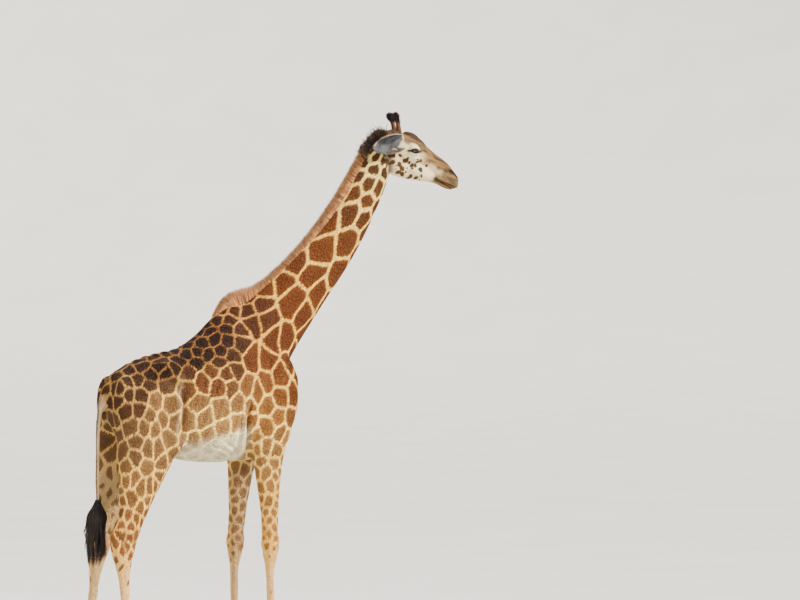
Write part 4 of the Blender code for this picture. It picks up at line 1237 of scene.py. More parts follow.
def paint_head(high, normals, head, edge, patch, line):
    """The head's colours: brown crown and nose, white round the eyes, spotted cheeks and dark tips, with
    painted shade behind the jaw, in the ear's hollow and at its root.
    """
    x, y, z = high[:, 0], np.abs(high[:, 1]), high[:, 2]
    on_ear, inside_ear, ear_place = ear_parts(high)
    head = np.maximum(head, on_ear)
    waver = noise_at(high, 24.0) * (head > 0)
    brush = rise(-0.28, 0.28, noise_at(high * (11, 70, 70)) * (head > 0))
    brown = mix((54, 38, 25), (112, 82, 48), brush)
    tan = mix((60, 42, 24), (130, 94, 52), brush)
    above_mouth = z - mouth_height(x)
    # Crown and bridge of the nose.
    upward = rise(0.30, 0.75, normals[:, 2] + 0.25 * waver)
    crown = np.maximum(upward, rise(0.052, 0.072, z + 0.012 * waver)) * rise(-0.08, 0.00, x)
    crown = np.maximum(crown, fall(0.06, 0.12, x) * rise(0.030, 0.060, z + 0.012 * waver))
    nose = rise(0.25, 0.36, x) * rise(-0.022, 0.026, z - 0.006 + 0.02 * waver)
    # Muzzle, lips and nostrils.
    lips = bell(above_mouth + 0.006, 0.022) * rise(0.445, 0.485, x)
    blot = bell(x - 0.480, 0.026, above_mouth + 0.004 + 0.008 * waver, 0.018)
    fold_over = bell(above_mouth - 0.020 - 0.10 * (x - 0.55), 0.0045)
    inner_lip = bell(above_mouth, 0.0024) * rise(0.455, 0.47, x)
    nostril_gap, _ = line_distance(high[:, [0, 2]], NOSTRIL_LINE)
    nostril = (y > 0.018) * (x > 0.50) * fall(0.003, 0.008, nostril_gap)
    # White of the cheek, over the eye and under it, and the brown temple.
    cheek = spot(high, 0.310, -0.050, 0.10, 0.050) * (1 - crown) * (1 - nose)
    over_eye = spot(high, 0.203, 0.066, 0.044, 0.018) * rise(0.2, 0.6, np.abs(normals[:, 1]))
    temple = spot(high, 0.140, 0.088, 0.030, 0.026) * (y > 0.05) * 0.8
    temple_brown = mix(brown, (150, 122, 90), np.full(len(x), 0.55))
    # Dark rim and corners of the eye.
    along, across, _ = eye_plane(high)
    rim = fall(0.0075, 0.0150, lid_gap(along, across)) * (y > 0.07)
    corner = (y > 0.06) * bell(along - 0.038, 0.019, across + 0.004, 0.009)
    tear = (y > 0.06) * bell(along + 0.042, 0.022, across + 0.003, 0.009)
    # Painted shade behind the jaw, where the head shades the neck.
    behind = fall(0.055, 0.105, x) * rise(-0.17, -0.12, z) * fall(0.02, 0.05, z)
    # Ossicones: tan in front, dark behind and at the tips.
    shaft = rise(0.118, 0.140, z) * fall(0.10, 0.13, x + 0.5 * (z - 0.12))
    shaft_back = shaft * rise(-0.1, 0.6, -normals[:, 0])
    # The hollow at the root of the ear, painted grey as shade, and its pale front rim.
    pit = spot(high, 0.060, 0.036, 0.042, 0.062, 0.25) * (y > 0.05) * (z < 0.108)
    rim_gap, _ = line_distance(high[:, [0, 2]], EAR_FRONT)
    front_rim = bell(rim_gap, 0.0048) * (y > 0.05)
    colour = np.tile(tone((238, 214, 164)), (len(x), 1))
    for shade, share in (
        (brown, crown * 0.95),
        ((80, 58, 40), fall(0.06, 0.11, x) * rise(0.040, 0.070, z)),
        (tan, nose * 0.94),
        ((66, 44, 30), rise(0.110, 0.134, z) * spot(high, 0.19, 0.145, 0.10, 0.05)),
        (tan, rise(0.43, 0.54, x + 0.03 * waver) * 0.88),
        (tan, np.clip(lips * 1.2, 0, 1) * 0.85),
        ((62, 50, 34), np.clip(blot * 1.3, 0, 1) * 0.9),
        ((86, 58, 36), fold_over * rise(0.49, 0.54, x) * 0.6),
        ((42, 32, 28), inner_lip),
        ((46, 34, 30), nostril),
        ((246, 230, 188), cheek),
        ((250, 236, 196), over_eye),
        ((244, 226, 182), spot(high, 0.215, 0.000, 0.070, 0.028) * 0.9),
        (temple_brown, temple),
        ((30, 22, 19), rim),
        ((52, 38, 30), np.clip(corner * 1.3, 0, 1)),
        ((60, 44, 34), np.clip(tear * 1.2, 0, 1)),
        # painted shade behind the jaw
        ((104, 84, 66), behind * 0.85 * (x > -0.03)),
        ((112, 72, 44), shaft),
        ((70, 46, 34), shaft_back * 0.8),
        ((44, 27, 20), rise(0.160, 0.185, z) * shaft),
        # painted shade at the root of the ear
        ((84, 86, 88), pit),
        ((222, 202, 172), front_rim * 0.9),
        (ear_colour(waver, inside_ear, ear_place), on_ear),
    ):
        colour = mix(colour, shade, share)
    spots = cheek_spots(high, waver) - 0.03 * (crown > 0.5)
    edge = np.where(head > 0.5, np.where(on_ear > 0.3, NO_PATCH, spots), edge)
    return edge, mix(patch, (80, 57, 31), head), mix(line, colour, head)


def ear_parts(high):
    """For each head point: whether it is on an ear, whether on its hollow side, and how far out along it."""
    on_ear, inside, place = np.zeros(len(high)), np.zeros(len(high)), np.zeros(len(high))
    lengths, widths = EAR_SHEET
    close = np.flatnonzero((np.abs(high[:, 0]) < 0.16) & (np.abs(high[:, 1]) > 0.06))
    for side in (-1, 1):
        rows = ear_leaf(side, lengths, widths)
        points = [p for row in rows for p in row]
        row = widths + 1
        starts = [i * row + j for i in range(lengths) for j in range(widths)]
        faces = [(k, k + 1, k + 1 + row, k + row) for k in starts]
        sheet = BVHTree.FromPolygons(points, faces)
        for k in close[high[close, 1] * side > 0]:
            p = Vector(high[k])
            nearest, normal, index, gap = sheet.find_nearest(p, 0.02)
            if nearest is None:
                continue
            t = (index // widths + 0.5) / lengths
            on_ear[k] = fall(0.0060, 0.010, np.array(gap)) * rise(0.03, 0.10, np.array(t))
            inside[k] = (p - nearest).dot(normal) * side > 0
            place[k] = t
    return on_ear, inside, place


def leg_mask(rest):
    """1 on the legs, 0 on the trunk, for points on the plain stance."""
    y = np.abs(rest[:, 1])
    fore = rise(0.22, 0.30, rest[:, 0]) * fall(1.46, 1.60, rest[:, 2] - 0.3 * (y - 0.15))
    hind = fall(-0.34, -0.24, rest[:, 0] - 0.25 * (rest[:, 2] - 1.5))
    low = fall(1.35, 1.42, rest[:, 2])
    return np.maximum(np.maximum(fore, hind) * rise(0.03, 0.09, y), low)


def store(mesh, name, values):
    """Writes one number or one colour for each point of a mesh."""
    if values.ndim == 1:
        made = mesh.attributes.new(name, "FLOAT", "POINT")
        made.data.foreach_set("value", values.astype(np.float32))
        return
    made = mesh.attributes.new(name, "FLOAT_COLOR", "POINT")
    full = np.ones((len(values), 4), np.float32)
    full[:, :3] = values
    made.data.foreach_set("color", full.ravel())


class Nodes:
    """Short ways to add and link the nodes of one material."""

    def __init__(self, name, roughness):
        self.material = bpy.data.materials.new(name)
        self.material.use_nodes = True
        self.tree = self.material.node_tree
        self.shader = self.tree.nodes["Principled BSDF"]
        self.shader.inputs["Roughness"].default_value = roughness

    def add(self, kind, inputs=None, **settings):
        node = self.tree.nodes.new("ShaderNode" + kind)
        for key, value in settings.items():
            setattr(node, key, value)
        for key, value in (inputs or {}).items():
            self.give(node, key, value)
        return node

    def give(self, node, key, value):
        if isinstance(value, bpy.types.NodeSocket):
            self.tree.links.new(value, node.inputs[key])
        else:
            node.inputs[key].default_value = value

    def place(self):
        return self.add("TexCoord").outputs["Object"]

    def noise(self, scale, detail=4.0, stretch=(1, 1, 1), rough=0.55):
        mapping = self.add("Mapping", {"Vector": self.place(), "Scale": stretch})
        return self.add(
            "TexNoise",
            {"Vector": mapping.outputs[0], "Scale": scale, "Detail": detail, "Roughness": rough},
        ).outputs["Fac"]

    def spread(self, value, low, high, to_low=0.0, to_high=1.0, smooth=True):
        kind = "SMOOTHSTEP" if smooth else "LINEAR"
        inputs = {"Value": value, "From Min": low, "From Max": high, "To Min": to_low, "To Max": to_high}
        return self.add("MapRange", inputs, interpolation_type=kind).outputs["Result"]

    def math(self, operation, a, b):
        return self.add("Math", {0: a, 1: b}, operation=operation).outputs[0]

    def mix(self, fac, a, b, blend="MIX"):
        node = self.add("Mix", data_type="RGBA", blend_type=blend)
        for key, value in ((0, fac), (6, a), (7, b)):
            if isinstance(value, (tuple, np.ndarray)) and len(value) == 3:
                value = (*map(float, value), 1.0)
            self.give(node, key, value)
        return node.outputs[2]

    def stored(self, name, output):
        return self.add("Attribute", attribute_name=name).outputs[output]

    def grey(self, value):
        return self.add("CombineColor", {0: value, 1: value, 2: value}).outputs[0]

    def finish(self, colour, height=None, strength=0.4, distance=0.002):
        self.give(self.shader, "Base Color", colour)
        if height is not None:
            bump = self.add("Bump", {"Height": height, "Strength": strength, "Distance": distance})
            self.give(self.shader, "Normal", bump.outputs[0])
        return self.material


def coat_material(name, roughness, sheen):
    """Short hair over hide: patches, pale lines, and fine streaks along the hair."""
    n = Nodes(name, roughness)
    n.shader.inputs["Specular IOR Level"].default_value = 0.14
    n.shader.inputs["Sheen Weight"].default_value = sheen
    n.shader.inputs["Sheen Roughness"].default_value = 0.5
    fine = n.noise(420.0, 3.0, (1, 1, 0.22))
    ragged = n.spread(n.noise(90.0, 4.0), 0.2, 0.8, -0.0028, 0.0028, smooth=False)
    inside = n.math("ADD", n.stored("edge", "Fac"), ragged)
    cover = n.spread(inside, -0.0022, 0.0030)
    heart = n.spread(inside, 0.002, 0.040, 1.10, 0.86)
    patch = n.mix(1.0, n.stored("patch", "Color"), n.grey(heart), "MULTIPLY")
    base = n.mix(cover, n.stored("ground", "Color"), patch)
    mottle = n.spread(n.noise(14.0, 5.0), 0.25, 0.75, 0.92, 1.07, smooth=False)
    streak = n.spread(fine, 0.25, 0.75, 0.90, 1.09, smooth=False)
    colour = n.mix(1.0, base, n.grey(n.math("MULTIPLY", mottle, streak)), "MULTIPLY")
    return n.finish(colour, fine, 0.22, 0.0012)


# Hooves: how much of a claw's length and width is left at the ground, and how it meets leg and ground.
HOOF_RINGS = 22
CLAW_SIDES = 40
CLAW_AT_GROUND = 0.985
TOE_FORWARD = 0.022
CORONET_OVERLAP = 0.002
SOLE_TURNED_IN = 0.03
SOLE_EDGE_HEIGHT = 0.0045
SIDE_WORDS = {-1: "right", 1: "left"}


def claw_outline(length, width, points):
    """A claw's rim, seen from above: x about its middle, and the distance out from the cleft."""
    rim = []
    for k in range(points):
        a = 2 * math.pi * k / points
        s, c = math.sin(a), math.cos(a)
        # The wall along the cleft is flat. The outer one bows out and sweeps in to the toe.
        out = width * max(s, 0.0) ** 0.75 * (1 - 0.25 * max(0.0, c)) if s > 1e-9 else 0.0
        rim.append((c * length / 2, out))
    return rim


def make_hoof(kind, side, outer):
    """One claw: a horn wall with growth rings that bulges at the heel, on a flat sole."""
    foot = LEGS[kind][-2]
    foot_x = foot[0] + STANCE[kind, side][1]
    away = side if outer else -side
    rings = []
    for i in range(HOOF_RINGS + 1):
        h = i / HOOF_RINGS
        long = CLAW_AT_GROUND - 0.205 * h
        wide = CLAW_AT_GROUND - 0.105 * h
        back = 0.027 * h
        # Growth rings, finest near the coronet, and a toe that curls in at the ground.
        ripple = 0.0011 * math.sin(h * 34) * (1 - h) ** 0.3 + 0.0006 * math.sin(h * 83 + side)
        grow = 1 + ripple / 0.05
        curl = 0.0036 * max(0.0, 1 - h * 4) ** 2
        ring = []
        for x, out in claw_outline(CLAW_LENGTH[kind], CLAW_WIDTH[kind], CLAW_SIDES):
            toe = max(0.0, x / (CLAW_LENGTH[kind] / 2)) ** 2
            px = foot_x + TOE_FORWARD - back + x * long * grow - curl * toe
            py = side * foot[1] + away * (CLEFT / 2 + out * wide * (grow if out > 0 else 1))
            top = CORONET_HEIGHT + CORONET_SLOPE * (px - foot_x) + CORONET_OVERLAP
            ring.append(Vector((px, py, h * top)))
        rings.append(ring)
    # A turned-in edge under the wall, then the sole itself.
    first = rings[0]
    middle = sum(first, Vector()) / len(first)
    rings[0] = [p + (middle - p) * SOLE_TURNED_IN for p in first]
    for p in rings[1]:
        p.z = SOLE_EDGE_HEIGHT
    bm = bmesh.new()
    bridge(bm, rings)
    return object_from(bm, f"hoof_{kind}_{SIDE_WORDS[side]}_{'outer' if outer else 'inner'}")


def horn_material():
    n = Nodes("hoof_horn", 0.42)
    rings = n.noise(60.0, 4.0, (0.2, 0.2, 2.4))
    wear = n.spread(n.noise(18.0, 5.0), 0.3, 0.75)
    colour = n.mix(wear, tone((34, 27, 21)), tone((66, 53, 40)))
    colour = n.mix(n.spread(rings, 0.35, 0.7), colour, n.mix(0.5, colour, tone((88, 73, 54))))
    height_z = n.add("SeparateXYZ", {0: n.place()}).outputs[2]
    colour = n.mix(n.spread(height_z, 0.0, 0.035, 0.75, 0.0), colour, tone((92, 77, 57)))
    return n.finish(colour, rings, 0.5, 0.0012)


CORNEA_RISE = 0.035
EYE_CLEARANCE = 0.0006
EYE_FORWARD = 14  # degrees


def make_eyeball(side):
    """Eyeball with a raised cornea, facing out from the head."""
    bm = bmesh.new()
    bmesh.ops.create_uvsphere(bm, u_segments=64, v_segments=40, radius=1.0)
    for vertex in bm.verts:
        # The pole at +Z becomes the front of the eye.
        bulge = 1 + CORNEA_RISE * rise(0.70, 0.98, np.array(vertex.co.z))
        vertex.co = vertex.co * float(bulge) * (EYE_RADIUS - EYE_CLEARANCE)
    outward = Matrix.Rotation(math.radians(-90 * side), 4, "X")
    forward = Matrix.Rotation(math.radians(-EYE_FORWARD * side), 4, "Z")
    socket = Matrix.Translation((EYE_AT.x, side * EYE_AT.y, EYE_AT.z))
    place = HEAD_TO_BODY @ socket @ forward @ outward
    front = np.array(place.to_3x3() @ Vector((0, 0, 1)))
    level = np.array(place.to_3x3() @ Vector((1, 0, 0)))
    bm.transform(place)
    ball = object_from(bm, "eyeball_" + SIDE_WORDS[side])
    co = corners(ball.data) - np.array(place.translation)
    ahead = co @ front
    off_axis = np.linalg.norm(co - np.outer(ahead, front), axis=1) / EYE_RADIUS
    store(ball.data, "off_axis", off_axis * np.where(ahead > 0, 1, 3))
    store(ball.data, "across", co @ level / EYE_RADIUS)
    store(ball.data, "upward", co @ np.cross(front, level) / EYE_RADIUS)
    return ball


def eye_material():
    n = Nodes("wet_eye", 0.06)
    n.shader.inputs["Coat Weight"].default_value = 1.0
    n.shader.inputs["Coat Roughness"].default_value = 0.02
    off = n.stored("off_axis", "Fac")
    squares = []
    for name, narrowness in (("across", 5.5), ("upward", 26.0)):
        square = n.math("POWER", n.math("ABSOLUTE", n.stored(name, "Fac"), 0.0), 2.0)
        squares.append(n.math("MULTIPLY", square, narrowness))
    pupil = n.spread(n.math("ADD", *squares), 0.75, 1.05)
    iris = n.mix(n.spread(n.noise(300.0, 3.0), 0.3, 0.7), tone((38, 24, 14)), tone((66, 42, 24)))
    colour = n.mix(pupil, tone((4, 3, 3)), iris)
    colour = n.mix(n.spread(off, 0.72, 0.80), colour, tone((22, 15, 12)))
    colour = n.mix(n.spread(off, 0.90, 0.98), colour, tone((120, 96, 78)))
    return n.finish(colour)


# The atlas that every piece is mapped onto for baking: regions of the hide, each laid out along its own six
# sides.
ATLAS_MARGIN = 0.006
PATCH_UV = 0.003  # breadth of the map under one tuft or lock
BOX_MARGIN = 0.02
TALL_BOX = 0.12  # a box taller than this on the map is laid on its side
HEAD_MAP_SCALE = 1.9
LEG_MAP_SCALE = 1.15
LEG_REGIONS = ("fore_right", "fore_left", "hind_right", "hind_left")
REGIONS = ("trunk", "neck", "head", "ears", *LEG_REGIONS, "tail")
# The trunk ends and the neck begins at this plane.
TRUNK_END = np.array([0.56, 0, 2.44])
TRUNK_END_WAY = np.array([0.669, 0, 0.743])
CREST_PLACES = 400
LOCKS = 46
SWITCH_END = 0.690


def region_frames():
    """Each region of the hide, with the frame and the scale in which it is laid on the map."""
    plain, on_head = np.eye(4), np.array(HEAD_TO_BODY.inverted())
    down_neck = np.array(Matrix.Rotation(math.radians(50), 4, "Y"))
    frames = {"trunk": (plain, 1.0), "neck": (down_neck, 1.0)}
    frames.update(dict.fromkeys(("head", "ears"), (on_head, HEAD_MAP_SCALE)))
    frames.update(dict.fromkeys(LEG_REGIONS, (plain, LEG_MAP_SCALE)))
    return {**frames, "tail": (plain, 1.0)}


def regions_of(points):
    """The number of the region in which each point of the hide or of the coat lies."""
    high = to_head(points)
    across = np.abs(points[:, 1])
    neck = (points - TRUNK_END) @ TRUNK_END_WAY > 0
    head = head_share(points, high) > 0.5
    ears = head & (high[:, 0] < 0.13) & (np.abs(high[:, 1]) > 0.098) & (high[:, 2] < 0.09)
    legs = (leg_mask(plain_stance(points)) > 0.5) & (points[:, 2] < 1.62)
    fore, left = points[:, 0] > LEG_FRONT_X, points[:, 1] > 0
    tail = (points[:, 0] < -0.755) & (across < 0.085) & (points[:, 2] < 1.99)
    found = np.zeros(len(points), int)
    each_leg = (legs & fore & ~left, legs & fore & left, legs & ~fore & ~left, legs & ~fore & left)
    for k, mine in enumerate((neck, head, ears, *each_leg, tail)):
        found[mine] = k + 1
    return found


def in_regions(points, words):
    """1 for points in the regions with these names, 0 elsewhere."""
    return np.isin(regions_of(points), [REGIONS.index(word) for word in words]).astype(float)


class Atlas:
    """Packs the six sides of each region on one square, and gives any point its place there."""

    def __init__(self, points, normals):
        region = regions_of(points)
        side, flat = self.flatten(points, normals, region)
        self.low, boxes = {}, []
        for key in sorted({(int(r), int(s)) for r, s in zip(region, side)}):
            mine = (region == key[0]) & (side == key[1])
            low, high = flat[mine].min(0), flat[mine].max(0)
            self.low[key] = low
            boxes.append((key, (high - low) + 2 * BOX_MARGIN))
        self.scale = 0.5
        while not self.pack(boxes):
            self.scale *= 0.97

    def flatten(self, points, normals, region):
        """The side of its region that each point faces, and its place on that side."""
        frames = region_frames()
        side, flat = np.zeros(len(points), int), np.zeros((len(points), 2))
        for k, word in enumerate(REGIONS):
            matrix, scale = frames[word]
            mine = region == k
            p = moved(points[mine], matrix) * scale
            n = normals[mine] @ matrix[:3, :3].T
            axis = np.abs(n * np.array([0.8, 1.0, 0.8])).argmax(1)
            positive = np.take_along_axis(n, axis[:, None], 1)[:, 0] > 0
            side[mine] = axis * 2 + positive
            others = np.array([[1, 2], [0, 2], [0, 1]])[axis]
            flat[mine] = np.take_along_axis(p, others, 1)
        return side, flat

    def pack(self, boxes):
        """Shelves of boxes, tallest first. True when they all fit in the square."""
        self.spot = {}
        x = y = shelf = 0.0
        for key, (wide, tall) in sorted(boxes, key=lambda box: -max(box[1])):
            turned = wide < tall and tall * self.scale > TALL_BOX
            w, h = (tall, wide) if turned else (wide, tall)
            w, h = w * self.scale + ATLAS_MARGIN, h * self.scale + ATLAS_MARGIN
            if x + w > 1:
                x, y, shelf = 0.0, y + shelf, 0.0
            if w > 1 or y + h > 1:
                return False
            self.spot[key] = (x + ATLAS_MARGIN / 2, y + ATLAS_MARGIN / 2, turned)
            x += w
            shelf = max(shelf, h)
        return True

    def place(self, points, normals, region=None):
        """Places on the map. A point on a side that the hide doesn't have goes to the first corner."""
        region = regions_of(points) if region is None else region
        side, flat = self.flatten(points, normals, region)
        out = np.full((len(points), 2), 0.001)
        for key, (x, y, turned) in self.spot.items():
            mine = (region == key[0]) & (side == key[1])
            local = (flat[mine] - self.low[key] + BOX_MARGIN) * self.scale
            out[mine] = (local[:, ::-1] if turned else local) + (x, y)
        return np.clip(out, 0.0005, 0.9995)


def unwrap_hide(mesh, atlas):
    """Lays each face of the hide on the atlas by the face's own region and side."""
    count = len(mesh.polygons)
    total = read(mesh.polygons, "loop_total", kind=np.int32)
    loops = read(mesh.loops, "vertex_index", kind=np.int32)
    face_of = np.repeat(np.arange(count), total)
    co, normals = corners(mesh)[loops], normals_of(mesh)[loops]
    centre, facing = (
        np.stack([np.bincount(face_of, values[:, k], count) for k in range(3)], 1)
        for values in (co, normals)
    )
    region = regions_of(centre / total[:, None])
    write_map(mesh, atlas.place(co, unit(facing)[face_of], region[face_of]))


def write_map(mesh, uv):
    """Stores the map for baking every piece of the coat, with a place for each corner."""
    layer = mesh.uv_layers.new(name="OFBake")
    layer.data.foreach_set("uv", uv.astype(np.float32).ravel())


class Hide:
    """The finished hide, ready for hair to be rooted on it."""

    def __init__(self, obj):
        mesh = obj.data
        self.co, self.normals = corners(mesh), normals_of(mesh)
        mesh.calc_loop_triangles()
        self.tris = read(mesh.loop_triangles, "vertices", 3, np.int32)
        a, b, c = (self.co[self.tris[:, k]] for k in range(3))
        self.areas = np.linalg.norm(np.cross(b - a, c - a), axis=1) / 2
        self.middles = (a + b + c) / 3
        self.marks = {name: read_mark(mesh, name) for name in ("edge", "patch", "ground")}

    def roots(self, count, density, random):
        """Random places, weighted by face area and the density at each face's middle."""
        chance = self.areas * density
        picked = random.choice(len(chance), count, p=chance / chance.sum())
        u, v = random.random(count), random.random(count)
        flip = u + v > 1
        u, v = np.where(flip, 1 - u, u), np.where(flip, 1 - v, v)
        share = np.stack([1 - u - v, u, v], 1)

        def blend(values):
            each = share if values.ndim == 1 else share[:, :, None]
            return (values[self.tris[picked]] * each).sum(1)

        marks = {name: blend(values) for name, values in self.marks.items()}
        return blend(self.co), unit(blend(self.normals)), marks


def read_mark(mesh, name):
    """What store wrote: one number or one colour for each point."""
    made = mesh.attributes[name]
    if made.data_type == "FLOAT":
        return read(made.data, "value").astype(float)
    return read(made.data, "color", 4)[:, :3].astype(float)


def unit(vectors):
    return vectors / np.maximum(np.linalg.norm(vectors, axis=1), 1e-9)[:, None]


def flattened(ways, normals):
    """Ways turned along a surface with these normals."""
    return unit(ways - normals * np.sum(ways * normals, axis=1)[:, None])


def lie_of_hair(points, normals):
    """The way that the coat lies: back and down the trunk, down the neck and legs, back over the face."""
    way = np.tile(np.array([-1.0, 0.0, -0.55]), (len(points), 1))
    neck = rise(2.3, 2.8, points[:, 2] + 0.4 * (points[:, 0] - 0.7))[:, None]
    way = way + (np.array([-0.72, 0.0, -0.70]) - way) * neck
    leg = leg_mask(plain_stance(points))[:, None]
    way = way + (np.array([-0.10, 0.0, -1.0]) - way) * leg
    tail = ((points[:, 0] < -0.75) & (np.abs(points[:, 1]) < 0.08))[:, None]
    way = np.where(tail, np.array([-0.1, 0.0, -1.0]), way)
    back = np.array(HEAD_TO_BODY.to_3x3() @ Vector((-1.0, 0.0, -0.25)))
    head = head_share(points, to_head(points))[:, None]
    way = way + (back - way) * head
    ear = in_regions(points, ["ears"])[:, None] > 0
    way = np.where(ear, np.array(HEAD_TO_BODY.to_3x3() @ EAR_DIRECTION), way)
    return flattened(way, normals)


def solid_blades(name, roots, normals, ways, length, width, thick, lift, marks, uv, rings=1, bend=0.0):
    """Closed three-sided blades that rise from their roots and lie along their ways.

    With one ring a blade has four faces. More rings let it bend, by the given share of its length.
    """
    across = unit(np.cross(normals, ways))
    rows = []
    for k in range(rings):
        t = k / rings
        taper = (1 - t) ** 0.6 if rings > 1 else 1.0
        middle = roots + ways * (length * t)[:, None]
        middle = middle + normals * (lift * t + bend * length * t * t - 0.3 * thick)[:, None]
        wide = (width * taper / 2)[:, None]
        rows += [middle - across * wide, middle + across * wide, middle + normals * (thick * taper)[:, None]]
    rows.append(roots + ways * length[:, None] + normals * (lift + bend * length)[:, None])
    points = np.stack(rows, 1)
    corner_uv = np.array([(-0.5, -0.5), (0.5, -0.5), (0.0, 0.0)] * rings + [(0.0, 0.5)]) * PATCH_UV
    return blades_from(name, points, rings, marks, uv[:, None] + corner_uv[None])


def blade_faces(rings):
    """Triangles of one closed blade: its three-sided rings, then its tip."""
    sides = ((0, 1), (1, 2), (2, 0))
    faces = [(0, 1, 2)]
    for k in range(rings - 1):
        for a, b in sides:
            low_a, low_b = 3 * k + a, 3 * k + b
            faces += [(low_b, low_a, low_a + 3), (low_b, low_a + 3, low_b + 3)]
    last = 3 * (rings - 1)
    faces += [(last + b, last + a, 3 * rings) for a, b in sides]
    return np.array(faces)


def blades_from(name, points, rings, marks, uv, flip=False):
    """One piece of closed blades, from each blade's points and map places, and marks for each blade."""
    count, size = points.shape[:2]
    faces = (blade_faces(rings)[None] + (np.arange(count) * size)[:, None, None]).reshape(-1, 3)
    mesh = bpy.data.meshes.new(name)
    mesh.vertices.add(count * size)
    mesh.loops.add(len(faces) * 3)
    mesh.polygons.add(len(faces))
    mesh.vertices.foreach_set("co", points.astype(np.float32).ravel())
    mesh.loops.foreach_set("vertex_index", faces.astype(np.int32).ravel())
    mesh.polygons.foreach_set("loop_start", np.arange(0, len(faces) * 3, 3, dtype=np.int32))
    mesh.update(calc_edges=True)
    if flip:
        mesh.flip_normals()
    for key, values in marks.items():
        store(mesh, key, np.repeat(values, size, axis=0))
    write_map(mesh, np.clip(uv.reshape(-1, 2)[faces.ravel()], 0, 1))
    return linked(name, mesh)


def shaded(marks, random):
    """The marks at the roots, with each tuft a little lighter or darker than its neighbours."""
    tint = random.uniform(0.94, 1.06, len(marks["edge"]))[:, None]
    return {"edge": marks["edge"], "patch": marks["patch"] * tint, "ground": marks["ground"] * tint}


def make_short_coat(hide, atlas, name, count, seed, regions):
    """Flat tufts over one part of the animal, shorter and finer towards the face and feet."""
    random = np.random.default_rng(seed)
    roots, normals, marks = hide.roots(count, in_regions(hide.middles, regions), random)
    head = head_share(roots, to_head(roots))
    low = fall(0.3, 1.1, roots[:, 2])
    fine = np.clip(1 - 0.62 * head - 0.40 * low, 0.3, 1.0)
    ways = lie_of_hair(roots, normals)
    ways = unit(ways + random.normal(0, 0.10, ways.shape))
    ways = flattened(ways, normals)
    size = random.uniform(0.75, 1.25, count) * fine
    return solid_blades(
        name, roots, normals, ways, 0.020 * size, 0.0056 * size, 0.0011 * size, 0.0014 * size,
        shaded(marks, random), atlas.place(roots, normals),
    )


def hair_marks(colours):
    """Marks for hair of its own colours, which doesn't follow the patches."""
    return {"edge": np.full(len(colours), NO_PATCH), "patch": colours, "ground": colours}


def crest_rows(count):
    """Places along the mane: outer edge, the way outward, the way along, half height and half width."""
    rows = through(in_plane(MANE), count)
    ways = unit(np.gradient(rows[:, :3], axis=0))
    outward = np.stack([ways[:, 2], np.zeros(count), -ways[:, 0]], 1)
    return rows[:, :3], outward, ways, rows[:, 3], rows[:, 4]


def make_mane(atlas, name, count, seed, spread):
    """Standing locks along the crest, dark and ragged at the poll and rust-tan below it."""
    random = np.random.default_rng(seed)
    edge, outward, ways, depth, half = crest_rows(CREST_PLACES)
    at = random.integers(0, CREST_PLACES, count)
    side = random.uniform(*spread, count) * random.choice((-1, 1), count)
    tall = 2 * depth[at] * random.uniform(0.86, 1.05, count) * (1 - 0.16 * side**2)
    poll = rise(3.62, 3.74, edge[at, 2])
    tall *= 1 + poll * random.uniform(-0.35, 0.45, count)
    roots = edge[at] - outward[at] * (2 * depth[at] * 1.06)[:, None]
    roots[:, 1] += side * half[at] * 0.95
    roots += ways[at] * random.uniform(-0.008, 0.008, count)[:, None]
    back = random.normal(0.10, 0.07, count) + 0.16 * poll * random.normal(0, 2, count)
    lean = outward[at] + ways[at] * back[:, None]
    lean[:, 1] += side * 0.06 + random.normal(0, 0.030, count)
    lean = unit(lean)
    normals = unit(np.stack([np.zeros(count), np.sign(side), np.zeros(count)], 1) + 0.001)
    normals = flattened(normals, lean)
    colours = mix((158, 92, 44), (226, 164, 100), random.random(count))
    deep = (0.25 * random.random(count) < 0.06)[:, None]
    colours = np.where(deep, tone((86, 52, 32)), colours)
    darkness = np.clip(poll * 1.2 * (random.random(count) < 0.94), 0, 1)
    colours = mix(colours, (36, 22, 14), darkness)
    return solid_blades(
        name, roots, normals, lean, tall * 1.03, random.uniform(0.0055, 0.0095, count),
        random.uniform(0.0022, 0.0034, count), random.normal(0, 0.0015, count),
        hair_marks(colours), atlas.place(roots, normals), rings=3, bend=0.02,
    )


def make_poll_hair(hide, atlas, name, count, seed):
    """Dark ragged hair round the poll, where the mane runs up behind the ears."""
    random = np.random.default_rng(seed)
    roots, normals, _ = hide.roots(count, poll_share(hide.middles), random)
    way = unit(normals * 0.55 + np.array([-0.45, 0.0, 0.62]) + random.normal(0, 0.30, roots.shape))
    across = unit(np.cross(way, normals) + random.normal(0, 0.2, roots.shape))
    across = flattened(across, way)
    size = random.uniform(0.25, 0.65, count) * (1 + 1.5 * (random.random(count) > 0.93))
    colours = mix((34, 22, 15), (92, 58, 34), random.random(count) ** 2)
    return solid_blades(
        name, roots, across, way, 0.048 * size, 0.0042 * size, 0.0018 * size,
        random.normal(0, 0.003, count), hair_marks(colours), atlas.place(roots, normals),
        rings=3, bend=0.08,
    )


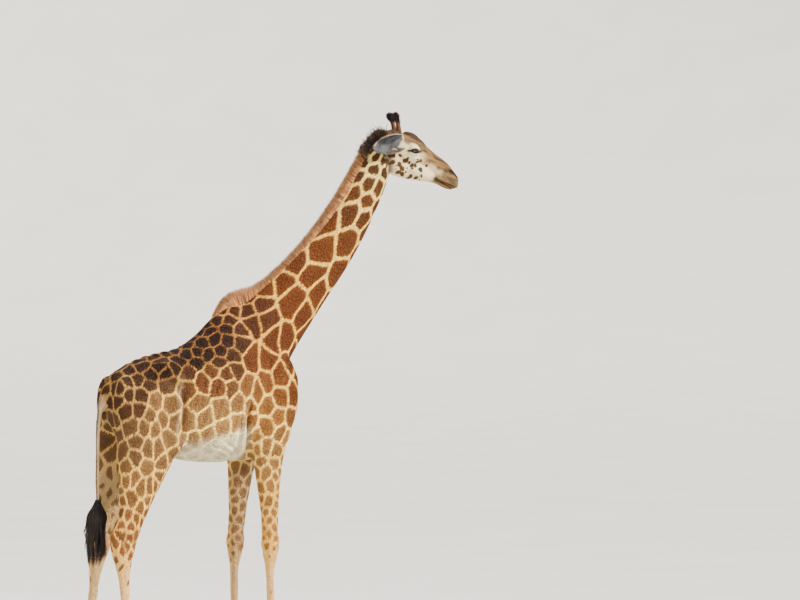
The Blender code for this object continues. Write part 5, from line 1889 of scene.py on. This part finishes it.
def make_switch(atlas, name, count, seed):
    """Long black strands that hang from the end of the tail, drawn together into ragged locks."""
    random = np.random.default_rng(seed)
    stations = through(in_plane(SWITCH), 60)
    turn, share = random.uniform(0, 2 * math.pi, count), np.sqrt(random.random(count))
    flat = share[:, None] * np.stack([np.cos(turn), np.sin(turn)], 1)
    start = random.uniform(1.10, 1.215, count)
    # A notch parts the switch in two, and each lock ends at its own height.
    notch = 0.085 * bell(np.cos(turn) * share - 0.15, 0.22)
    lock_turn, lock_share = random.uniform(0, 2 * math.pi, LOCKS), np.sqrt(random.random(LOCKS)) * 1.15
    locks = np.stack([lock_share * np.cos(lock_turn), lock_share * np.sin(lock_turn)], 1)
    lock_end = SWITCH_END + 0.27 * random.random(LOCKS) ** 1.3 + 0.05 * lock_share
    lock_sway = random.normal(0, 0.013, (LOCKS, 2))
    apart = np.linalg.norm(flat[:, None] - locks[None], axis=2)
    lock = np.argmin(apart + random.normal(0, 0.10, apart.shape), axis=1)
    end = np.maximum(lock_end[lock] + 0.07 * random.random(count) + 0.3 * notch, SWITCH_END)
    sway = random.normal(0, 0.006, (count, 2)) + lock_sway[lock]
    thick = random.uniform(0.0016, 0.0030, count)
    rings = 11
    points = np.empty((count, rings * 3 + 1, 3))
    for k in range(rings + 1):
        t = k / rings
        z = start + (end - start) * t
        x, deep, wide = (np.interp(-z, -stations[:, 2], stations[:, column]) for column in (0, 3, 4))
        fan = 1 + 0.35 * bell(z - 1.11, 0.05)
        gather = 0.86 * rise(0.15, 1.0, t)
        wave = 0.005 * np.sin(turn * 3 + z * 26)
        off = flat + gather * (locks[lock] - flat)
        px = x + deep * fan * off[:, 0] + sway[:, 0] * t * t + wave
        py = wide * fan * off[:, 1] + sway[:, 1] * t * t + wave * 0.6
        points[:, -1] = np.stack([px, py, z], 1)
        for j in range(3 if k < rings else 0):
            a = turn + 2 * math.pi * j / 3
            radius = thick * (1 - 0.75 * t)
            points[:, k * 3 + j] = np.stack([px + radius * np.cos(a), py + radius * np.sin(a), z], 1)
    colours = mix((26, 20, 17), (62, 44, 32), random.random(count) ** 3)
    root = np.tile(np.array([-0.814, 0.0, 1.22]), (count, 1))
    outward = np.stack([np.cos(turn), np.sin(turn), np.zeros(count)], 1)
    uv = np.repeat(atlas.place(root, outward), points.shape[1], axis=0)
    uv = uv + random.uniform(-PATCH_UV / 2, PATCH_UV / 2, uv.shape)
    return blades_from(name, points, rings, hair_marks(colours), uv, flip=True)


def make_tip_hair(hide, atlas, name, count, seed):
    """Black bristles on the tips of the ossicones."""
    random = np.random.default_rng(seed)
    high = to_head(hide.middles)
    top = rise(0.165, 0.185, high[:, 2]) * (high[:, 0] < 0.1)
    roots, normals, _ = hide.roots(count, top, random)
    way = unit(normals + np.array([0.0, 0.0, 0.75]) + random.normal(0, 0.22, normals.shape))
    size = random.uniform(0.7, 1.25, count)
    across = unit(np.cross(way, np.array([0.3, 0.9, 0.1])))
    colours = mix((24, 17, 15), (70, 44, 32), random.random(count) * 0.6)
    return solid_blades(
        name, roots, across, way, 0.0135 * size, 0.0032 * size, 0.0016 * size, np.zeros(count),
        hair_marks(colours), atlas.place(roots, normals), rings=2, bend=0.05,
    )


def make_ear_hair(hide, atlas, name, count, seed):
    """Hair along the ears, in the colours painted on the hide there, with the hollow's painted shade,
    longest at their tips.
    """
    random = np.random.default_rng(seed)
    roots, normals, marks = hide.roots(count, in_regions(hide.middles, ["ears"]), random)
    _, _, place = ear_parts(to_head(roots))
    along = np.array(HEAD_TO_BODY.to_3x3() @ EAR_DIRECTION)
    way = unit(along + random.normal(0, 0.22, roots.shape) + normals * 0.12)
    size = random.uniform(0.6, 1.3, count) * (1 + 0.5 * rise(0.8, 1.0, place))
    pale = marks["ground"] * random.uniform(0.8, 1.25, count)[:, None]
    return solid_blades(
        name, roots, normals, way, 0.017 * size, 0.0026 * size, 0.0010 * size, 0.003 * size,
        hair_marks(np.clip(pale, 0, 1)), atlas.place(roots, normals), rings=2, bend=0.04,
    )


def make_lashes(atlas, name, seed):
    """Long dark lashes along the upper lids, shorter ones below."""
    random = np.random.default_rng(seed)
    roots, normals, ways, sizes = [], [], [], []
    for side in (-1, 1):
        for upper, count in ((True, 150), (False, 60)):
            for _ in range(count):
                s = random.uniform(-1.0, 1.0)
                along = s * EYE_HALF_LENGTH * 1.02
                arch = max(0.0, 1 - abs(s) ** 2.2)
                across = (UPPER_LID if upper else -LOWER_LID) * arch + (0.0015 if upper else -0.001)
                x = along * math.cos(EYE_TILT) - across * math.sin(EYE_TILT)
                z = along * math.sin(EYE_TILT) + across * math.cos(EYE_TILT)
                reach = EYE_RADIUS + LID_THICKNESS * 0.8
                y = math.sqrt(max(reach**2 - x * x - z * z, 1e-6))
                roots.append((EYE_AT.x + x, side * (EYE_AT.y + y), EYE_AT.z + z))
                out = Vector((x, side * y, z)).normalized()
                droop = -0.80 if upper else -0.85
                way = out * 0.50 + Vector((s * 0.45 - 0.10, 0, droop)) + Vector(random.normal(0, 0.10, 3))
                ways.append(way.normalized())
                normals.append(Vector((0, 0, 1)) - out * out.z)
                sizes.append((0.026 if upper else 0.010) * random.uniform(0.75, 1.15))
    turn = HEAD_TO_BODY.to_3x3()
    roots = moved(np.array(roots), HEAD_TO_BODY)
    ways = np.array([turn @ way for way in ways])
    normals = np.array([(turn @ normal).normalized() for normal in normals])
    count, sizes = len(roots), np.array(sizes)
    dark = np.tile(tone((20, 15, 14)), (count, 1))
    return solid_blades(
        name, roots, normals, ways, sizes, np.full(count, 0.0016), np.full(count, 0.0010),
        sizes * 0.02, hair_marks(dark), atlas.place(roots, normals), rings=3, bend=0.16,
    )


def lock_material(name, roughness):
    """Long hair: its own colour, with streaks along each lock."""
    n = Nodes(name, roughness)
    n.shader.inputs["Specular IOR Level"].default_value = 0.3
    n.shader.inputs["Sheen Weight"].default_value = 0.08
    streak = n.spread(n.noise(240.0, 3.0, (1, 1, 0.3)), 0.25, 0.75, 0.74, 1.20, smooth=False)
    colour = n.mix(1.0, n.stored("ground", "Color"), n.grey(streak), "MULTIPLY")
    return n.finish(colour, n.noise(500.0, 2.0, (1, 1, 0.3)), 0.3, 0.001)


def make_camera(place):
    """Looks at the right side from a little behind, from far off, so that the body isn't foreshortened."""
    away = math.radians(place.azimuth)
    look = Vector((math.sin(away), math.cos(away), 0.0))
    right = Vector((math.cos(away), -math.sin(away), 0.0))
    camera = linked("camera", bpy.data.cameras.new("camera"))
    spot = right * place.aside - look * place.distance
    spot.x += ORIGIN.x
    spot.z = place.height
    camera.location = spot
    down = math.radians(place.tilt)
    aim = look * math.cos(down) - Vector((0, 0, math.sin(down)))
    camera.rotation_euler = aim.to_track_quat("-Z", "Y").to_euler()
    camera.data.lens = place.lens
    camera.data.sensor_width = 36.0
    camera.data.clip_end = 3000.0
    bpy.context.scene.camera = camera


def floor_material():
    n = Nodes("floor_paint", 0.9)
    cloud = n.spread(n.noise(0.8, 4.0), 0.3, 0.7)
    return n.finish(n.mix(cloud, (0.74, 0.73, 0.71), (0.78, 0.77, 0.75)))


def make_floor():
    """A wide floor that curves up far away, so that no edge or horizon shows."""
    flat, bend, sides = 60.0, 26.0, 96
    rings = [(r, 0.0) for r in (0.5, 4.0, 12.0, 25.0, 40.0, flat)]
    rings += [(flat + bend * math.sin(a), bend * (1 - math.cos(a))) for a in np.linspace(0.1, 1.5, 14)]
    bm = bmesh.new()
    rows = []
    for r, z in rings:
        turns = [2 * math.pi * k / sides for k in range(sides)]
        rows.append([bm.verts.new((r * math.cos(a), r * math.sin(a), z)) for a in turns])
    bm.faces.new(rows[0])
    for near, far in zip(rows, rows[1:]):
        for k in range(sides):
            after = (k + 1) % sides
            bm.faces.new((near[k], far[k], far[after], near[after]))
    floor = object_from(bm, "floor")
    if floor.data.polygons[0].normal.z < 0:
        floor.data.flip_normals()
    floor.data.shade_smooth()
    floor.location.z = -0.001
    floor.data.materials.append(floor_material())


def add_area(name, spot, aim, size, power, colour):
    """A square soft light at a spot, aimed at a point."""
    light = linked(name, bpy.data.lights.new(name, "AREA"))
    light.data.size = size
    light.data.energy = power
    light.data.color = colour
    light.location = spot
    light.rotation_euler = (Vector(aim) - Vector(spot)).to_track_quat("-Z", "Y").to_euler()


def make_lights(place):
    """A warm low sun, two cool soft lights and an even sky."""
    middle = (0.0, 0.0, 2.0)
    warm, cool = (1.0, 0.93, 0.82), (0.86, 0.93, 1.0)
    sun = linked("key", bpy.data.lights.new("key", "SUN"))
    sun.data.energy = place.key
    sun.data.angle = math.radians(9)
    sun.data.color = warm
    sun.rotation_euler = Vector((0.70, -0.62, 0.66)).to_track_quat("Z", "Y").to_euler()
    add_area("fill", (-9.0, -5.0, 5.0), middle, 7.0, 360 * place.fill, cool)
    add_area("top", (-1.0, 4.0, 9.5), middle, 6.0, 420 * place.fill, cool)
    world = bpy.data.worlds.new("studio")
    world.use_nodes = True
    back = world.node_tree.nodes["Background"]
    back.inputs["Color"].default_value = (0.80, 0.86, 0.94, 1.0)
    back.inputs["Strength"].default_value = place.sky
    bpy.context.scene.world = world


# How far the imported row's origin lies from the one that the stations use.
EYE_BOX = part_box("eye_right")
EYE_MIDDLE = (Vector(EYE_BOX[0]) + Vector(EYE_BOX[1])) / 2
ORIGIN = EYE_MIDDLE - HEAD_TO_BODY @ Vector((EYE_AT.x, -EYE_AT.y, EYE_AT.z))
FLESH = [
    name
    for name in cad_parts
    if not any(word in name for word in ("claw", "eye", "mane", "switch"))
]


def settle(obj, material, replaced=()):
    """Moves a finished piece from the stations' origin to the row's, and ties it to the frame."""
    obj.data.transform(Matrix.Translation(ORIGIN))
    obj.data.materials.clear()
    obj.data.materials.append(material)
    obj.data.shade_smooth()
    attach(obj, "root")
    if replaced:
        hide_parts(*replaced)


# The hide and its map, kept for the hair that is rooted on it.
GROWN = {}


# Pieces of the short coat: name, number of tufts, and the regions that it covers.
COAT_PIECES = (
    ("coat_trunk_first", 46000, ["trunk"]),
    ("coat_trunk_second", 46000, ["trunk"]),
    ("coat_neck", 40000, ["neck"]),
    ("coat_head", 34000, ["head", "ears"]),
    ("coat_forelegs", 42000, ["fore_right", "fore_left"]),
    ("coat_hindlegs", 46000, ["hind_right", "hind_left", "tail"]),
)


class GIRAFFE_PG_stage(bpy.types.PropertyGroup):
    azimuth: FloatProperty(
        name="Azimuth", description="Turn of the camera about the animal, in degrees", default=30.0
    )
    distance: FloatProperty(
        name="Distance", description="Distance from camera to animal", default=40.0, unit="LENGTH"
    )
    aside: FloatProperty(
        name="Aside",
        description="How far right of the origin the camera looks",
        default=1.4184,
        unit="LENGTH",
    )
    height: FloatProperty(
        name="Height", description="Height of the camera", default=3.39, unit="LENGTH"
    )
    tilt: FloatProperty(
        name="Tilt", description="How far the camera looks down, in degrees", default=1.117
    )
    lens: FloatProperty(
        name="Lens", description="Focal length on a 36 mm sensor, in mm", default=253.8
    )
    key: FloatProperty(name="Key light", description="Strength of the key light", default=11.4)
    fill: FloatProperty(name="Fill light", description="Strength of the soft lights", default=1.1)
    sky: FloatProperty(name="Sky", description="Strength of the even light", default=0.48)


class GIRAFFE_PG_coat(bpy.types.PropertyGroup):
    roughness: FloatProperty(
        name="Roughness", description="Roughness of the short coat", default=0.72, min=0.0, max=1.0
    )
    sheen: FloatProperty(
        name="Sheen", description="Sheen of the short coat", default=0.02, min=0.0, max=1.0
    )


class GIRAFFE_OT_hide(bpy.types.Operator):
    """Builds the hide with its folds and patches, as one skin over all the flesh"""

    bl_idname = "giraffe.hide"
    bl_label = "Hide"

    def execute(self, context):
        settings = context.scene.giraffe_coat
        hide = make_hide()
        paint_hide(hide)
        made = Hide(hide)
        atlas = Atlas(made.co, made.normals)
        unwrap_hide(hide.data, atlas)
        GROWN.update(hide=made, atlas=atlas)
        settle(hide, coat_material("hide_coat", settings.roughness, settings.sheen), FLESH)
        return {"FINISHED"}


class GIRAFFE_OT_short_coat(bpy.types.Operator):
    """Covers the hide with flat tufts that carry its patches"""

    bl_idname = "giraffe.short_coat"
    bl_label = "Short coat"

    def execute(self, context):
        settings = context.scene.giraffe_coat
        material = coat_material("tuft_coat", settings.roughness, settings.sheen)
        for k, (name, count, regions) in enumerate(COAT_PIECES):
            tufts = make_short_coat(GROWN["hide"], GROWN["atlas"], name, count, SEED + 10 + k, regions)
            settle(tufts, material)
        return {"FINISHED"}


class GIRAFFE_OT_mane(bpy.types.Operator):
    """Stands the mane's locks along the crest"""

    bl_idname = "giraffe.mane"
    bl_label = "Mane"

    def execute(self, context):
        material = lock_material("mane_hair", 0.75)
        hide, atlas = GROWN["hide"], GROWN["atlas"]
        core = make_mane(atlas, "mane_core", 5200, SEED + 30, (0.0, 0.75))
        settle(core, material, ["mane"])
        settle(make_mane(atlas, "mane_sides", 5200, SEED + 31, (0.6, 1.0)), material)
        settle(make_poll_hair(hide, atlas, "poll_hair", 2600, SEED + 36), material)
        return {"FINISHED"}


class GIRAFFE_OT_tail_switch(bpy.types.Operator):
    """Hangs the long black strands from the end of the tail"""

    bl_idname = "giraffe.tail_switch"
    bl_label = "Tail switch"

    def execute(self, context):
        switch = make_switch(GROWN["atlas"], "tail_strands", 1900, SEED + 32)
        settle(switch, lock_material("switch_hair", 0.55), ["tail_switch"])
        return {"FINISHED"}


class GIRAFFE_OT_head_hair(bpy.types.Operator):
    """Adds the ossicones' bristles, the ears' hair and the lashes"""

    bl_idname = "giraffe.head_hair"
    bl_label = "Head hair"

    def execute(self, context):
        material = lock_material("head_hair", 0.6)
        hide, atlas = GROWN["hide"], GROWN["atlas"]
        settle(make_tip_hair(hide, atlas, "ossicone_bristles", 1500, SEED + 33), material)
        settle(make_ear_hair(hide, atlas, "ear_hair", 3200, SEED + 34), material)
        settle(make_lashes(atlas, "lashes", SEED + 35), material)
        return {"FINISHED"}


class GIRAFFE_OT_eyes(bpy.types.Operator):
    """Adds the two wet eyeballs"""

    bl_idname = "giraffe.eyes"
    bl_label = "Eyes"

    def execute(self, context):
        material = eye_material()
        for side, word in SIDE_WORDS.items():
            settle(make_eyeball(side), material, ["eye_" + word])
        return {"FINISHED"}


class GIRAFFE_OT_hooves(bpy.types.Operator):
    """Adds the eight claws with their growth rings"""

    bl_idname = "giraffe.hooves"
    bl_label = "Hooves"

    def execute(self, context):
        material = horn_material()
        for kind, side in STANCE:
            for outer in (True, False):
                claw = f"{kind}leg_{SIDE_WORDS[side]}_claw_{'outer' if outer else 'inner'}"
                settle(make_hoof(kind, side, outer), material, [claw])
        return {"FINISHED"}


class GIRAFFE_OT_stage(bpy.types.Operator):
    """Adds the floor, the lights and the camera"""

    bl_idname = "giraffe.stage"
    bl_label = "Stage"

    def execute(self, context):
        place = context.scene.giraffe_stage
        make_floor()
        make_lights(place)
        make_camera(place)
        return {"FINISHED"}


class GIRAFFE_PT_panel(bpy.types.Panel):
    """Lists the pieces in the order in which they are made"""

    bl_label = "Giraffe"
    bl_idname = "GIRAFFE_PT_panel"
    bl_space_type = "VIEW_3D"
    bl_region_type = "UI"
    bl_category = "Giraffe"

    def draw(self, context):
        for operator in OPERATORS:
            self.layout.operator(operator.bl_idname)
        for group in (context.scene.giraffe_coat, context.scene.giraffe_stage):
            for name in group.__annotations__:
                self.layout.prop(group, name)


OPERATORS = (
    GIRAFFE_OT_stage,
    GIRAFFE_OT_hide,
    GIRAFFE_OT_short_coat,
    GIRAFFE_OT_mane,
    GIRAFFE_OT_tail_switch,
    GIRAFFE_OT_head_hair,
    GIRAFFE_OT_eyes,
    GIRAFFE_OT_hooves,
)
CLASSES = (GIRAFFE_PG_stage, GIRAFFE_PG_coat, *OPERATORS, GIRAFFE_PT_panel)


def register():
    for made in CLASSES:
        bpy.utils.register_class(made)
    bpy.types.Scene.giraffe_stage = PointerProperty(type=GIRAFFE_PG_stage)
    bpy.types.Scene.giraffe_coat = PointerProperty(type=GIRAFFE_PG_coat)


def unregister():
    del bpy.types.Scene.giraffe_coat
    del bpy.types.Scene.giraffe_stage
    for made in reversed(CLASSES):
        bpy.utils.unregister_class(made)


def main():
    register()
    for operator in OPERATORS:
        group, word = operator.bl_idname.split(".")
        getattr(getattr(bpy.ops, group), word)()


if __name__ == "__main__":
    main()
